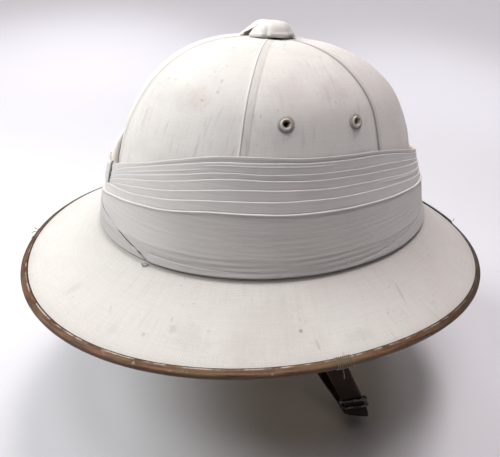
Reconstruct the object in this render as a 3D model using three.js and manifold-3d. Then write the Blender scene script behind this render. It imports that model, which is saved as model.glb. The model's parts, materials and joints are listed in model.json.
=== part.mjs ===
// A white cloth-covered pith helmet with a pleated pugaree, leather binding and chin strap.
// Millimetres, +Z up. The front faces -Y and the wearer's left is +X.
// The origin lies on the upright axis through the vent cap, at the level of the head opening.
import * as THREE from "three";
import { mergeVertices } from "three/addons/utils/BufferGeometryUtils.js";
import Module from "manifold-3d";

const GAP = 0.3; // clearance left between neighbouring pieces
const COLUMNS = 30; // facets round the helmet
const TURN = 2 * Math.PI;
const WELD = 1e-4; // corners closer than this are one corner

// Level sections of the pith crown from the brim up to the vent hole: half-lengths towards the
// front, the sides and the back, and how far the section dips at its front and back.
const CROWN_SECTIONS = [
  { height: -1.5, front: 112, side: 102, back: 131, frontDip: 6, backDip: 0 },
  { height: 20, front: 103, side: 95, back: 121, frontDip: 2, backDip: 0 },
  { height: 44, front: 97.5, side: 87.5, back: 111.5, frontDip: 0, backDip: 0 },
  { height: 64, front: 92, side: 81.5, back: 105.5, frontDip: 0, backDip: 0 },
  { height: 83, front: 82, side: 75.5, back: 94.5, frontDip: 0, backDip: 0 },
  { height: 94, front: 73, side: 68.5, back: 84.5, frontDip: 0, backDip: 0 },
  { height: 103.5, front: 61.5, side: 58, back: 71, frontDip: 0, backDip: 0 },
  { height: 110.3, front: 49, side: 46.5, back: 56.5, frontDip: 0, backDip: 0 },
  { height: 114.8, front: 34.5, side: 33, back: 39.5, frontDip: 0, backDip: 0 },
  { height: 116.9, front: 19, side: 18.5, back: 21, frontDip: 0, backDip: 0 },
  { height: 117.4, front: 9, side: 9, back: 9, frontDip: 0, backDip: 0 },
];
const CROWN_STEPS = 10;
const CROWN_WALL = 8;
const CROWN_LIP = { inset: 4, drop: 6 }; // rounding of the head opening, from the crown's foot
const VENT_HOLE_RADIUS = 7;

// The brim's top edge: half-lengths, and heights at the front, the left, the back and the drooping right.
const BRIM_EDGE = {
  front: 162.7, side: 146.2, back: 178.7,
  frontHeight: -34, leftHeight: -21.5, backHeight: -34, rightHeight: -28,
};
const BRIM_STEPS = 4;
const BRIM_ROOT = 4; // thickness where the brim leaves the crown
const BRIM_RIM = 1.8; // thickness at its edge
const BRIM_HOLLOW = 0.22; // how much steeper the brim leaves the crown than a straight slope
const BRIM_NOSE = 0.8; // roundness of the brim's outer edge

const PANEL_COUNT = 6;
const CLOTH = 1;
const BRIM_CLEARANCE = 0.5; // between the pith brim and its cloth

const BINDING_WIDTH = 4.2;
const LEATHER = 1;
const BINDING_CLEARANCE = 0.5; // between the binding and what it is folded over

// The pugaree runs from the brim to its top edge, which dips at the front and the back.
const PUGAREE_TOP = { front: 39, side: 63.2, back: 40, frontSharpness: 6.5, backSharpness: 4.2 };
const PUGAREE_FOOT = 1.5; // height of its lower edge above the crown's foot
const PUGAREE_CLEARANCE = 0.4;
// Extra thickness where the winding is gathered, with its spread in degrees; little of it is at the foot.
const SWELL = { front: 4.8, frontSpread: 18, back: 5, backSpread: 45, footPart: 0.1, from: 0.1, to: 0.6 };
const BAND_CLOTH = 1.8;
const BAND_SHARES = [0, 0.06, 0.22, 0.4, 0.54];
const FOLD_THIN = 0.9; // a fold's thickness where it comes out from behind the one below
const FOLD_THICK = 1.8; // and at its folded upper edge
// Folds of the pugaree, lowest first, as shares of its height.
const FOLDS = [
  { from: 0.54, to: 0.642 },
  { from: 0.642, to: 0.73 },
  { from: 0.73, to: 0.812 },
  { from: 0.812, to: 0.868 },
  { from: 0.868, to: 0.957 },
  { from: 0.957, to: 1 },
];
const LOOP = { width: 15, radius: 100, from: 0.5, to: 1.03, thickness: 1.8, columns: 4, rows: 8 };

const CAP = {
  radius: 17.8, rim: 119.6, crest: 130, cloth: 1.4, stemRadius: 6.6, stemFoot: 110,
  notch: 0.12, lift: 3.6, liftedLobe: -30, liftNarrowness: 8, liftCurl: 4, roundSteps: 4,
};

const EYELET = {
  height: 80.5, spread: 16.5, flange: 4.6, ring: 3.3, bore: 1.6, barrel: 2.3,
  proud: 2.0, lip: 0.6, depth: 5, facets: 10,
};
const EYELET_SIDES = [91.5, -91.5];

const STRAP = { width: 15, thickness: 2.2, steps: 44 };
const STRAP_SEAT_HEIGHTS = [18, 12, 6, 0]; // the strap's end lies on the crown's inner wall between these
// The strap's free run, from the left seat down to its lowest fold and across to the right seat.
const STRAP_RUN = [
  { x: 91, y: 1, z: -14 },
  { x: 93, y: 7, z: -40 },
  { x: 95, y: 18, z: -68 },
  { x: 96, y: 31, z: -95 },
  { x: 96, y: 46, z: -123 },
  { x: 94, y: 55, z: -142 },
  { x: 86, y: 58, z: -149 },
  { x: 76, y: 55, z: -144 },
  { x: 58, y: 47, z: -133 },
  { x: 28, y: 35, z: -114 },
  { x: -6, y: 24, z: -91 },
  { x: -44, y: 13, z: -62 },
  { x: -75, y: 5, z: -34 },
  { x: -89, y: 1, z: -14 },
];
const BUCKLE = {
  at: { x: 96, y: 46, z: -123 }, width: 21, height: 11, corner: 3.2, rail: 2.2, plate: 0.6, round: 0.7,
  pin: 1, facets: 8,
};
const RIVET = {
  height: 11, head: 4, shoulder: 2.8, shoulderRise: 1, crest: 1.2, shank: 1.6, depth: 4, facets: 12,
};

const cloth = new THREE.MeshStandardMaterial({ color: 0xefebe4, roughness: 0.9 });
const wrapCloth = new THREE.MeshStandardMaterial({ color: 0xe6e1da, roughness: 0.9 });
const pith = new THREE.MeshStandardMaterial({ color: 0xd9c7a3, roughness: 0.95 });
const bindingLeather = new THREE.MeshStandardMaterial({ color: 0x6b5342, roughness: 0.6 });
const strapLeather = new THREE.MeshStandardMaterial({ color: 0x2a1d16, roughness: 0.55 });
const eyeletMetal = new THREE.MeshStandardMaterial({ color: 0xb8ad9c, roughness: 0.45, metalness: 0.8 });
const steel = new THREE.MeshStandardMaterial({ color: 0x6a6a64, roughness: 0.45, metalness: 1 });

const wasm = await Module();
wasm.setup();

// A geometry with only its positions, its shared corners merged and its collapsed facets dropped.
function closed(geometry) {
  const bare = geometry.clone();
  bare.deleteAttribute("normal");
  bare.deleteAttribute("uv");
  const merged = mergeVertices(bare, WELD);
  const kept = [];
  const index = merged.index.array;
  for (let i = 0; i < index.length; i += 3) {
    const [a, b, c] = index.slice(i, i + 3);
    if (a !== b && b !== c && c !== a) kept.push(a, b, c);
  }
  merged.setIndex(kept);
  merged.computeVertexNormals();
  return merged;
}

function solidOf(geometry) {
  const whole = closed(geometry);
  const vertProperties = new Float32Array(whole.attributes.position.array);
  const triVerts = new Uint32Array(whole.index.array);
  return new wasm.Manifold(new wasm.Mesh({ numProp: 3, vertProperties, triVerts }));
}

function geometryOf(solid) {
  const mesh = solid.getMesh();
  const geometry = new THREE.BufferGeometry();
  geometry.setAttribute("position", new THREE.BufferAttribute(mesh.vertProperties, 3));
  geometry.setIndex(new THREE.BufferAttribute(mesh.triVerts, 1));
  geometry.computeVertexNormals();
  return geometry;
}

function cut(geometry, tools) {
  return geometryOf(tools.reduce((rest, tool) => rest.subtract(solidOf(tool)), solidOf(geometry)));
}

function join(geometries) {
  return geometryOf(geometries.map(solidOf).reduce((sum, solid) => sum.add(solid)));
}

// Radius of an oval with its own half-lengths to the front, the sides and the back.
function ovalRadius(azimuth, { front, side, back }) {
  const ahead = Math.cos(azimuth);
  const lengthwise = ahead > 0 ? front : back;
  return 1 / Math.hypot(ahead / lengthwise, Math.sin(azimuth) / side);
}

// A value that goes from the sides to its own ends at the front and the back.
function aroundValue(azimuth, { front, side, back }, frontSharpness = 2, backSharpness = 2) {
  const ahead = Math.cos(azimuth);
  const end = ahead > 0 ? front : back;
  const sharpness = ahead > 0 ? frontSharpness : backSharpness;
  return side + (end - side) * Math.abs(ahead) ** sharpness;
}

function place(azimuth, point) {
  return new THREE.Vector3(point.x * Math.sin(azimuth), -point.x * Math.cos(azimuth), point.y);
}

const crownPlan = new THREE.CatmullRomCurve3(
  CROWN_SECTIONS.map((row) => new THREE.Vector3(row.front, row.side, row.back)), false, "catmullrom",
);
const crownRise = new THREE.CatmullRomCurve3(
  CROWN_SECTIONS.map((row) => new THREE.Vector3(row.height, row.frontDip, row.backDip)), false, "catmullrom",
);

// The crown's profile at one azimuth: x is the radius and y the height, from 0 at the brim to 1.
function crownProfile(azimuth, level) {
  const plan = crownPlan.getPoint(level);
  const rise = crownRise.getPoint(level);
  const radius = ovalRadius(azimuth, { front: plan.x, side: plan.y, back: plan.z });
  const dip = aroundValue(azimuth, { front: rise.y, side: 0, back: rise.z });
  return new THREE.Vector2(radius, rise.x - dip);
}

// The brim's top profile, from 0 at the crown to 1 at the edge.
function brimProfile(azimuth, share) {
  const foot = crownProfile(azimuth, 0);
  const side = Math.sin(azimuth) < 0 ? BRIM_EDGE.rightHeight : BRIM_EDGE.leftHeight;
  const heights = { front: BRIM_EDGE.frontHeight, side, back: BRIM_EDGE.backHeight };
  const edge = new THREE.Vector2(ovalRadius(azimuth, BRIM_EDGE), aroundValue(azimuth, heights));
  const fall = share * (1 + BRIM_HOLLOW) - BRIM_HOLLOW * share * share;
  return new THREE.Vector2(
    THREE.MathUtils.lerp(foot.x, edge.x, share), THREE.MathUtils.lerp(foot.y, edge.y, fall),
  );
}

const brimThickness = (share) => THREE.MathUtils.lerp(BRIM_ROOT, BRIM_RIM, share);

// A profile's point moved off its surface; the profile runs upwards on the crown, outwards on the brim.
function offsetPoint(profile, azimuth, at, distance, turn) {
  const step = 1e-3;
  const before = profile(azimuth, Math.max(at - step, 0));
  const after = profile(azimuth, Math.min(at + step, 1));
  const along = after.sub(before).normalize();
  return profile(azimuth, at).add(new THREE.Vector2(along.y, -along.x).multiplyScalar(distance * turn));
}
const onCrown = (azimuth, level, distance) => offsetPoint(crownProfile, azimuth, level, distance, 1);
const onBrim = (azimuth, share, distance) => offsetPoint(brimProfile, azimuth, share, distance, -1);

function levelAtHeight(azimuth, height) {
  const closeness = 1e-5;
  let low = 0;
  let high = 1;
  while (high - low > closeness) {
    const middle = (low + high) / 2;
    if (crownProfile(azimuth, middle).y < height) low = middle;
    else high = middle;
  }
  return low;
}

function steps(count, from = 0, to = 1) {
  return Array.from({ length: count + 1 }, (_, i) => THREE.MathUtils.lerp(from, to, i / count));
}

// A ring round the helmet whose closed profile may change with the azimuth.
function ring(profileAt) {
  const count = profileAt(0).length;
  const loop = Array.from({ length: count + 1 }, (_, i) => new THREE.Vector2(1, i));
  const geometry = new THREE.LatheGeometry(loop, COLUMNS);
  const position = geometry.getAttribute("position");
  for (let column = 0; column <= COLUMNS; column += 1) {
    const azimuth = (TURN * column) / COLUMNS;
    const profile = profileAt(azimuth);
    for (let i = 0; i <= count; i += 1) {
      const point = place(azimuth, profile[i % count]);
      position.setXYZ(column * (count + 1) + i, point.x, point.y, point.z);
    }
  }
  return closed(geometry);
}

// A sheet bent into place: across, up and out run from -0.5 to 0.5.
function sheet(columns, rows, pointAt) {
  const geometry = new THREE.BoxGeometry(1, 1, 1, columns, rows, 1);
  const position = geometry.getAttribute("position");
  for (let i = 0; i < position.count; i += 1) {
    const point = pointAt(position.getX(i), position.getY(i), position.getZ(i));
    position.setXYZ(i, point.x, point.y, point.z);
  }
  return closed(geometry);
}

const helmet = new THREE.Group();
helmet.name = "pith_helmet";

function add(name, geometry, material) {
  const mesh = new THREE.Mesh(geometry, material);
  mesh.name = name;
  helmet.add(mesh);
  return mesh;
}

// Where an eyelet stands: its place on the cloth, and the turn from +Y to the way it faces.
function eyeletPlace(azimuth) {
  const level = levelAtHeight(azimuth, EYELET.height);
  const foot = place(azimuth, onCrown(azimuth, level, GAP + CLOTH + GAP));
  const above = place(azimuth, onCrown(azimuth, level, GAP + CLOTH + GAP + 1));
  const turn = new THREE.Quaternion().setFromUnitVectors(
    new THREE.Vector3(0, 1, 0), above.sub(foot).normalize(),
  );
  return { foot, turn };
}
const eyeletPlaces = EYELET_SIDES.flatMap((side) =>
  [-EYELET.spread, EYELET.spread].map((spread) => eyeletPlace(THREE.MathUtils.degToRad(side + spread))),
);

function eyeletHole({ foot, turn }) {
  const length = 2 * (CROWN_WALL + EYELET.proud);
  const tool = new THREE.CylinderGeometry(
    EYELET.barrel + GAP, EYELET.barrel + GAP, length, EYELET.facets,
  );
  return tool.applyQuaternion(turn).translate(foot.x, foot.y, foot.z);
}

// The flat inner facet at each side, where the strap's ends lie.
const SEAT_DEPTH = CROWN_WALL + CROWN_SECTIONS[0].side * (1 - Math.cos(TURN / COLUMNS / 2));

// The strap runs along one curve; its ends lie on the inner wall.
function strapSeat(height) {
  const azimuth = TURN / 4;
  const inset = -(SEAT_DEPTH + GAP + STRAP.thickness / 2);
  return place(azimuth, onCrown(azimuth, levelAtHeight(azimuth, height), inset));
}
const mirrored = (point) => new THREE.Vector3(-point.x, point.y, point.z);
const leftSeat = STRAP_SEAT_HEIGHTS.map(strapSeat);
const strapCurve = new THREE.CatmullRomCurve3([
  ...leftSeat,
  ...STRAP_RUN.map(({ x, y, z }) => new THREE.Vector3(x, y, z)),
  ...leftSeat.map(mirrored).reverse(),
]);

// The strap's own directions at a point of its curve: along it, across its width and off its face.
function strapFrame(share) {
  const along = strapCurve.getTangentAt(share);
  const across = new THREE.Vector3(0, 1, 0).projectOnPlane(along).normalize();
  const off = new THREE.Vector3().crossVectors(along, across);
  return { along, across, off };
}

// A rivet stands on the strap's end, with its shank through the strap into the wall.
function rivetAxis() {
  const azimuth = TURN / 4;
  const level = levelAtHeight(azimuth, RIVET.height);
  const wall = place(azimuth, onCrown(azimuth, level, -SEAT_DEPTH));
  const inside = place(azimuth, onCrown(azimuth, level, -SEAT_DEPTH - 1));
  return { wall, inwards: inside.sub(wall) };
}
const rivet = rivetAxis();

function rivetProfile() {
  const underHead = GAP + STRAP.thickness + GAP;
  return [
    new THREE.Vector2(0, -RIVET.depth),
    new THREE.Vector2(RIVET.shank, -RIVET.depth),
    new THREE.Vector2(RIVET.shank, underHead),
    new THREE.Vector2(RIVET.head, underHead),
    new THREE.Vector2(RIVET.shoulder, underHead + RIVET.shoulderRise),
    new THREE.Vector2(0, underHead + RIVET.crest),
  ];
}
const rivetTurn = new THREE.Quaternion().setFromUnitVectors(new THREE.Vector3(0, 1, 0), rivet.inwards);

function onRivet(geometry, side) {
  const placed = geometry.applyQuaternion(rivetTurn);
  placed.translate(rivet.wall.x, rivet.wall.y, rivet.wall.z);
  if (side < 0) placed.rotateZ(Math.PI);
  return placed;
}

function rivetHole(side) {
  const radius = RIVET.shank + GAP;
  const reach = 2 * (RIVET.depth + GAP);
  return onRivet(new THREE.CylinderGeometry(radius, radius, reach, RIVET.facets), side);
}

// The moulded pith shell: inner crown, brim underside, edge, brim top, outer crown and vent hole.
function pithBody() {
  const levels = steps(CROWN_STEPS);
  const shares = steps(BRIM_STEPS);
  const shell = ring((azimuth) => {
    const foot = crownProfile(azimuth, 0);
    const crownInside = levels.toReversed().map((level) => onCrown(azimuth, level, -CROWN_WALL));
    const corner = new THREE.Vector2(foot.x - CROWN_LIP.inset, foot.y - CROWN_LIP.drop);
    const underside = shares.slice(1).map((share) => onBrim(azimuth, share, -brimThickness(share)));
    const nose = onBrim(azimuth, 1, -BRIM_RIM / 2).add(new THREE.Vector2(BRIM_NOSE, 0));
    const top = shares.slice(1).toReversed().map((share) => brimProfile(azimuth, share));
    const outside = levels.map((level) => crownProfile(azimuth, level));
    const summit = outside.at(-1).y;
    const ventTop = new THREE.Vector2(VENT_HOLE_RADIUS, summit);
    const ventFoot = new THREE.Vector2(VENT_HOLE_RADIUS, summit - CROWN_WALL);
    return [ventFoot, ...crownInside, corner, ...underside, nose, ...top, ...outside, ventTop];
  });
  return cut(shell, [...eyeletPlaces.map(eyeletHole), rivetHole(1), rivetHole(-1)]);
}
add("pith_body", pithBody(), pith);

// Six cloth gores, edge to edge, with seams at the front and the back.
function crownPanel(number) {
  const span = TURN / PANEL_COUNT;
  const middle = (number - 0.5) * span;
  const panel = sheet(COLUMNS / PANEL_COUNT, CROWN_STEPS, (across, up, out) => {
    const level = up + 0.5;
    const seamGap = GAP / crownProfile(middle, level).x;
    const azimuth = middle + across * (span - seamGap);
    return place(azimuth, onCrown(azimuth, level, GAP + (out + 0.5) * CLOTH));
  });
  const holes = eyeletPlaces.filter(({ foot }) => {
    const away = Math.atan2(foot.x, -foot.y) - middle;
    return Math.cos(away) > Math.cos(span / 2);
  });
  return holes.length ? cut(panel, holes.map(eyeletHole)) : panel;
}
for (let number = 1; number <= PANEL_COUNT; number += 1) {
  add(`crown_panel_${number}`, crownPanel(number), cloth);
}

// Cloth over the top of the brim, from just outside the crown's cloth to the edge.
function brimCover() {
  return ring((azimuth) => {
    const run = brimProfile(azimuth, 1).x - brimProfile(azimuth, 0).x;
    const shares = [(CLOTH + 3 * GAP) / run, ...steps(BRIM_STEPS).slice(1)];
    const under = shares.map((share) => onBrim(azimuth, share, BRIM_CLEARANCE));
    const over = shares.toReversed().map((share) => onBrim(azimuth, share, BRIM_CLEARANCE + CLOTH));
    return [...under, ...over];
  });
}
add("brim_cover", brimCover(), cloth);

// Leather folded over the brim's edge, round the nose and a little way in on both faces.
function brimBinding() {
  const top = BRIM_CLEARANCE + CLOTH + BINDING_CLEARANCE;
  const bottom = (share) => -brimThickness(share) - BINDING_CLEARANCE;
  const nose = (azimuth, reach) =>
    onBrim(azimuth, 1, -BRIM_RIM / 2).add(new THREE.Vector2(BRIM_NOSE + reach, 0));
  return ring((azimuth) => {
    const run = brimProfile(azimuth, 1).x - brimProfile(azimuth, 0).x;
    const lip = 1 - BINDING_WIDTH / run;
    return [
      onBrim(azimuth, lip, top),
      onBrim(azimuth, 1, top),
      nose(azimuth, BINDING_CLEARANCE),
      onBrim(azimuth, 1, bottom(1)),
      onBrim(azimuth, lip, bottom(lip)),
      onBrim(azimuth, lip, bottom(lip) - LEATHER),
      onBrim(azimuth, 1, bottom(1) - LEATHER),
      nose(azimuth, BINDING_CLEARANCE + LEATHER),
      onBrim(azimuth, 1, top + LEATHER),
      onBrim(azimuth, lip, top + LEATHER),
    ];
  });
}
add("brim_binding", brimBinding(), bindingLeather);

// A point of the pugaree: its share of the height, and its distance off the crown's cloth.
function onPugaree(azimuth, share, distance) {
  const foot = crownProfile(azimuth, 0).y + PUGAREE_FOOT;
  const top = aroundValue(azimuth, PUGAREE_TOP, PUGAREE_TOP.frontSharpness, PUGAREE_TOP.backSharpness);
  const level = levelAtHeight(azimuth, THREE.MathUtils.lerp(foot, top, share));
  return onCrown(azimuth, level, GAP + CLOTH + PUGAREE_CLEARANCE + distance);
}

function swell(azimuth, share) {
  const fromFront = THREE.MathUtils.radToDeg(Math.acos(Math.cos(azimuth)));
  const front = SWELL.front * Math.exp(-((fromFront / SWELL.frontSpread) ** 2));
  const back = SWELL.back * Math.exp(-(((180 - fromFront) / SWELL.backSpread) ** 2));
  const part = THREE.MathUtils.smoothstep(share, SWELL.from, SWELL.to);
  return (front + back) * THREE.MathUtils.lerp(SWELL.footPart, 1, part);
}

function wrap(shares, thicknesses) {
  return ring((azimuth) => [
    ...shares.toReversed().map((share) => onPugaree(azimuth, share, 0)),
    ...shares.map((share, i) => onPugaree(azimuth, share, thicknesses[i] + swell(azimuth, share))),
  ]);
}
add("pugaree_band", wrap(BAND_SHARES, BAND_SHARES.map(() => BAND_CLOTH)), wrapCloth);

// Each fold starts just above the one below and thickens to its folded upper edge.
const foldGap = GAP / (PUGAREE_TOP.front - PUGAREE_FOOT);
FOLDS.forEach(({ from, to }, i) => {
  const shares = [from + foldGap, to];
  add(`pugaree_fold_${i + 1}`, wrap(shares, [FOLD_THIN, FOLD_THICK]), wrapCloth);
});

// The upright cloth loop that holds the folds together at the front.
function pugareeLoop() {
  return sheet(LOOP.columns, LOOP.rows, (across, up, out) => {
    const share = THREE.MathUtils.lerp(LOOP.from, LOOP.to, up + 0.5);
    const azimuth = (across * LOOP.width) / LOOP.radius;
    const lift = FOLD_THICK + swell(azimuth, share) + PUGAREE_CLEARANCE + (out + 0.5) * LOOP.thickness;
    return place(azimuth, onPugaree(azimuth, share, lift));
  });
}
add("pugaree_loop", pugareeLoop(), wrapCloth);

// A hollow cap of six lobes on a short stem; each notch stands over a seam, one lobe is lifted.
function ventCap() {
  const dome = (radius, foot, height) =>
    steps(CAP.roundSteps).map((share) => {
      const angle = (share * TURN) / 4;
      return new THREE.Vector2(radius * Math.cos(angle), foot + height * Math.sin(angle));
    });
  const outer = dome(CAP.radius, CAP.rim, CAP.crest - CAP.rim);
  const inner = dome(CAP.radius - CAP.cloth, CAP.rim, CAP.crest - CAP.rim - CAP.cloth);
  const underside = inner.filter((point) => point.x > CAP.stemRadius);
  const stemTop = underside.at(-1).y + CAP.cloth / 2;
  const profile = [
    new THREE.Vector2(0, CAP.stemFoot),
    new THREE.Vector2(CAP.stemRadius, CAP.stemFoot),
    new THREE.Vector2(CAP.stemRadius, stemTop),
    ...underside.toReversed(),
    ...outer.slice(0, -1),
    new THREE.Vector2(0, CAP.crest),
  ];
  const geometry = new THREE.LatheGeometry(profile, COLUMNS).rotateX(TURN / 4);
  const position = geometry.getAttribute("position");
  const lifted = THREE.MathUtils.degToRad(CAP.liftedLobe);
  for (let i = 0; i < position.count; i += 1) {
    const x = position.getX(i);
    const y = position.getY(i);
    const radius = Math.hypot(x, y);
    const outwards = Math.max(0, (radius - CAP.stemRadius) / (CAP.radius - CAP.stemRadius));
    const azimuth = Math.atan2(x, -y);
    const valley = 1 - Math.abs(Math.sin((PANEL_COUNT * azimuth) / 2));
    const shrink = 1 - CAP.notch * valley * valley * outwards;
    const nearness = Math.max(0, Math.cos(azimuth - lifted)) ** CAP.liftNarrowness;
    const raise = CAP.lift * nearness * outwards ** CAP.liftCurl;
    position.setXYZ(i, x * shrink, y * shrink, position.getZ(i) + raise);
  }
  return closed(geometry);
}
add("vent_cap", ventCap(), cloth);

// An eyelet: a sloping flange on the cloth, a raised ring round the bore and a barrel into the pith.
function eyelet() {
  const profile = [
    new THREE.Vector2(EYELET.bore, -EYELET.depth),
    new THREE.Vector2(EYELET.barrel, -EYELET.depth),
    new THREE.Vector2(EYELET.barrel, 0),
    new THREE.Vector2(EYELET.flange, 0),
    new THREE.Vector2(EYELET.flange, EYELET.lip / 2),
    new THREE.Vector2(EYELET.ring, EYELET.proud - EYELET.lip),
    new THREE.Vector2((EYELET.ring + EYELET.bore) / 2, EYELET.proud),
    new THREE.Vector2(EYELET.bore, EYELET.proud - EYELET.lip),
    new THREE.Vector2(EYELET.bore, -EYELET.depth),
  ];
  return closed(new THREE.LatheGeometry(profile, EYELET.facets));
}
eyeletPlaces.forEach(({ foot, turn }, i) => {
  const mesh = add(`vent_eyelet_${i + 1}`, eyelet(), eyeletMetal);
  mesh.position.copy(foot);
  mesh.quaternion.copy(turn);
});

// The chin strap: a flat strip of leather bent along its curve, with a rivet hole at each end.
function chinStrap() {
  const strip = sheet(1, STRAP.steps, (across, up, out) => {
    const share = up + 0.5;
    const frame = strapFrame(share);
    return strapCurve.getPointAt(share)
      .addScaledVector(frame.across, -across * STRAP.width)
      .addScaledVector(frame.off, out * STRAP.thickness);
  });
  return cut(strip, [rivetHole(1), rivetHole(-1)]);
}
add("chin_strap", chinStrap(), strapLeather);

const BUCKLE_SEARCH = 400;
const buckleShare = (() => {
  const shares = steps(BUCKLE_SEARCH);
  const aim = new THREE.Vector3(BUCKLE.at.x, BUCKLE.at.y, BUCKLE.at.z);
  const distance = (share) => strapCurve.getPointAt(share).distanceTo(aim);
  return shares.reduce((best, share) => (distance(share) < distance(best) ? share : best));
})();

function roundedOutline(path, width, height, corner) {
  const x = width / 2;
  const y = height / 2;
  path.moveTo(x, corner - y);
  path.absarc(x - corner, y - corner, corner, 0, TURN / 4);
  path.absarc(corner - x, y - corner, corner, TURN / 4, TURN / 2);
  path.absarc(corner - x, corner - y, corner, TURN / 2, (3 * TURN) / 4);
  path.absarc(x - corner, corner - y, corner, (3 * TURN) / 4, TURN);
  path.closePath();
  return path;
}

// A rounded frame on the strap's face, with a bar behind the strap that holds it there.
function strapBuckle() {
  const frame = roundedOutline(new THREE.Shape(), BUCKLE.width, BUCKLE.height, BUCKLE.corner);
  const window = roundedOutline(
    new THREE.Path(), BUCKLE.width - 2 * BUCKLE.rail, BUCKLE.height - 2 * BUCKLE.rail, BUCKLE.corner / 2,
  );
  frame.holes.push(window);
  const plate = new THREE.ExtrudeGeometry(frame, {
    depth: BUCKLE.plate, bevelThickness: BUCKLE.round, bevelSize: BUCKLE.round, bevelOffset: -BUCKLE.round,
    bevelSegments: 1, curveSegments: 3,
  });
  const face = STRAP.thickness / 2 + GAP;
  plate.translate(0, 0, face + BUCKLE.round);
  const behind = -face - BUCKLE.pin;
  const reach = STRAP.width / 2 + GAP + BUCKLE.pin;
  const bar = new THREE.CylinderGeometry(BUCKLE.pin, BUCKLE.pin, 2 * reach, BUCKLE.facets);
  bar.rotateZ(TURN / 4).translate(0, 0, behind);
  const legs = [-reach, reach].map((x) => {
    const length = face - behind + BUCKLE.round;
    const leg = new THREE.CylinderGeometry(BUCKLE.pin, BUCKLE.pin, length, BUCKLE.facets);
    return leg.rotateX(TURN / 4).translate(x, 0, behind + length / 2);
  });
  return join([plate, bar, ...legs]);
}
const buckle = add("strap_buckle", strapBuckle(), steel);
const buckleFrame = strapFrame(buckleShare);
buckle.position.copy(strapCurve.getPointAt(buckleShare));
buckle.quaternion.setFromRotationMatrix(new THREE.Matrix4().makeBasis(
  buckleFrame.across.clone().negate(), buckleFrame.along, buckleFrame.off,
));

// One plain rivet at each end of the strap.
[["strap_rivet_left", 1], ["strap_rivet_right", -1]].forEach(([name, side]) => {
  add(name, closed(onRivet(new THREE.LatheGeometry(rivetProfile(), RIVET.facets), side)), steel);
});

export default helmet;
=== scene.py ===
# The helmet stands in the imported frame, in metres, with its front towards -Y and the wearer's left
# towards +X. The camera is close to the wearer's left side, a little ahead and above the brim.
import json
import math
import bpy
import numpy as np
from mathutils import Matrix, Vector

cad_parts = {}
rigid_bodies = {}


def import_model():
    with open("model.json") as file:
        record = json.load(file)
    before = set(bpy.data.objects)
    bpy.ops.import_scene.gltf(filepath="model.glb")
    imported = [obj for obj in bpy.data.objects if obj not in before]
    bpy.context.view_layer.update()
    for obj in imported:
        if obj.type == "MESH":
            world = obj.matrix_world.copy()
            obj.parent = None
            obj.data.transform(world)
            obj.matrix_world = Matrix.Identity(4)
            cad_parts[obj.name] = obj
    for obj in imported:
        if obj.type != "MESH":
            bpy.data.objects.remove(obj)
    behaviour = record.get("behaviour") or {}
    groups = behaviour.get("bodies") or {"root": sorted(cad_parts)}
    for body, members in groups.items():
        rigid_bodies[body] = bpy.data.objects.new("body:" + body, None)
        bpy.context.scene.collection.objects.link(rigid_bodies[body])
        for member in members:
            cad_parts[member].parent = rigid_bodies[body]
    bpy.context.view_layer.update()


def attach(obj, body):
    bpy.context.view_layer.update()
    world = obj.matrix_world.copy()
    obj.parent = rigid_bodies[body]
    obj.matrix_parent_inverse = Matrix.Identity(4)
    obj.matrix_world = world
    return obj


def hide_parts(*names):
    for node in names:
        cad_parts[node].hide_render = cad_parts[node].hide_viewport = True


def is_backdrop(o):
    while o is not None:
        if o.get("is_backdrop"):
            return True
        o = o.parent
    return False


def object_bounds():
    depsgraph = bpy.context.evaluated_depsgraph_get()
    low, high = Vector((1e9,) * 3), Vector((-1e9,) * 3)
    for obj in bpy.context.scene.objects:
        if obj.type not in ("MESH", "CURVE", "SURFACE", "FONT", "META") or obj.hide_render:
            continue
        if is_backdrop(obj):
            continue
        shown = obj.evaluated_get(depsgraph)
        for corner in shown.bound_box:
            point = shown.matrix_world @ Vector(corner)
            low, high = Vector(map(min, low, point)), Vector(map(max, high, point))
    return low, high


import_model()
scene = bpy.context.scene
mm = 0.001
CAMERA_TURN = math.radians(66.4)
CAMERA_ABOVE = math.radians(21.2)
CAMERA_LEAN = math.radians(4.9)
CAMERA_DISTANCE = 333.6 * mm
LOOKED_AT = (0.0, 0.0, 30 * mm)

camera_data = bpy.data.cameras.new("camera")
camera_data.sensor_width = 36.0
camera_data.lens = 32.4
camera_data.shift_x = -0.023
camera_data.shift_y = -0.139
camera_data.clip_start = 0.01
camera_data.clip_end = 100.0
camera = bpy.data.objects.new("camera", camera_data)
scene.collection.objects.link(camera)
camera.matrix_world = (
    Matrix.Translation(LOOKED_AT)
    @ Matrix.Rotation(CAMERA_TURN, 4, "Z")
    @ Matrix.Rotation(math.pi / 2 - CAMERA_ABOVE, 4, "X")
    @ Matrix.Rotation(CAMERA_LEAN, 4, "Z")
    @ Matrix.Translation((0.0, 0.0, CAMERA_DISTANCE))
)
scene.camera = camera

# The floor is one wide sheet of matt white paper below the hanging strap, which sweeps up far behind. Soft
# light falls from above, with a lamp on the side of the helmet's front and two over the floor behind it.
FLOOR_SIZE = 16.0
FLOOR_HEIGHT = -156 * mm
SWEEP = {"starts": 0.9, "slope": 0.3, "eases_over": 1.5}
ROOM_LIGHT = [
    # name, azimuth from the helmet's front round by its left, elevation, spread in degrees, strength, colour
    ("roof_light", 45, 80, 14, 0.6, (1.0, 0.925, 0.935)),
    ("roof_light_behind", 224, 79, 14, 1.22, (1.0, 0.93, 0.94)),
    ("roof_light_ahead", 30, 61, 14, 0.4, (1.0, 0.93, 0.94)),
    ("window_ahead", 350, 48, 14, 0.42, (0.99, 1.0, 0.985)),
    ("window_behind", 195, 64, 16, 0.46, (1.0, 0.92, 0.93)),
    ("window_right", 160, 48, 24, 0.07, (1.0, 0.92, 0.93)),
]
ROUND_LAMP = {"shape": "DISK", "size": 0.5}
WIDE_CONE = {"spot_size": math.radians(75), "spot_blend": 1.0, "shadow_soft_size": 0.2}


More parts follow.
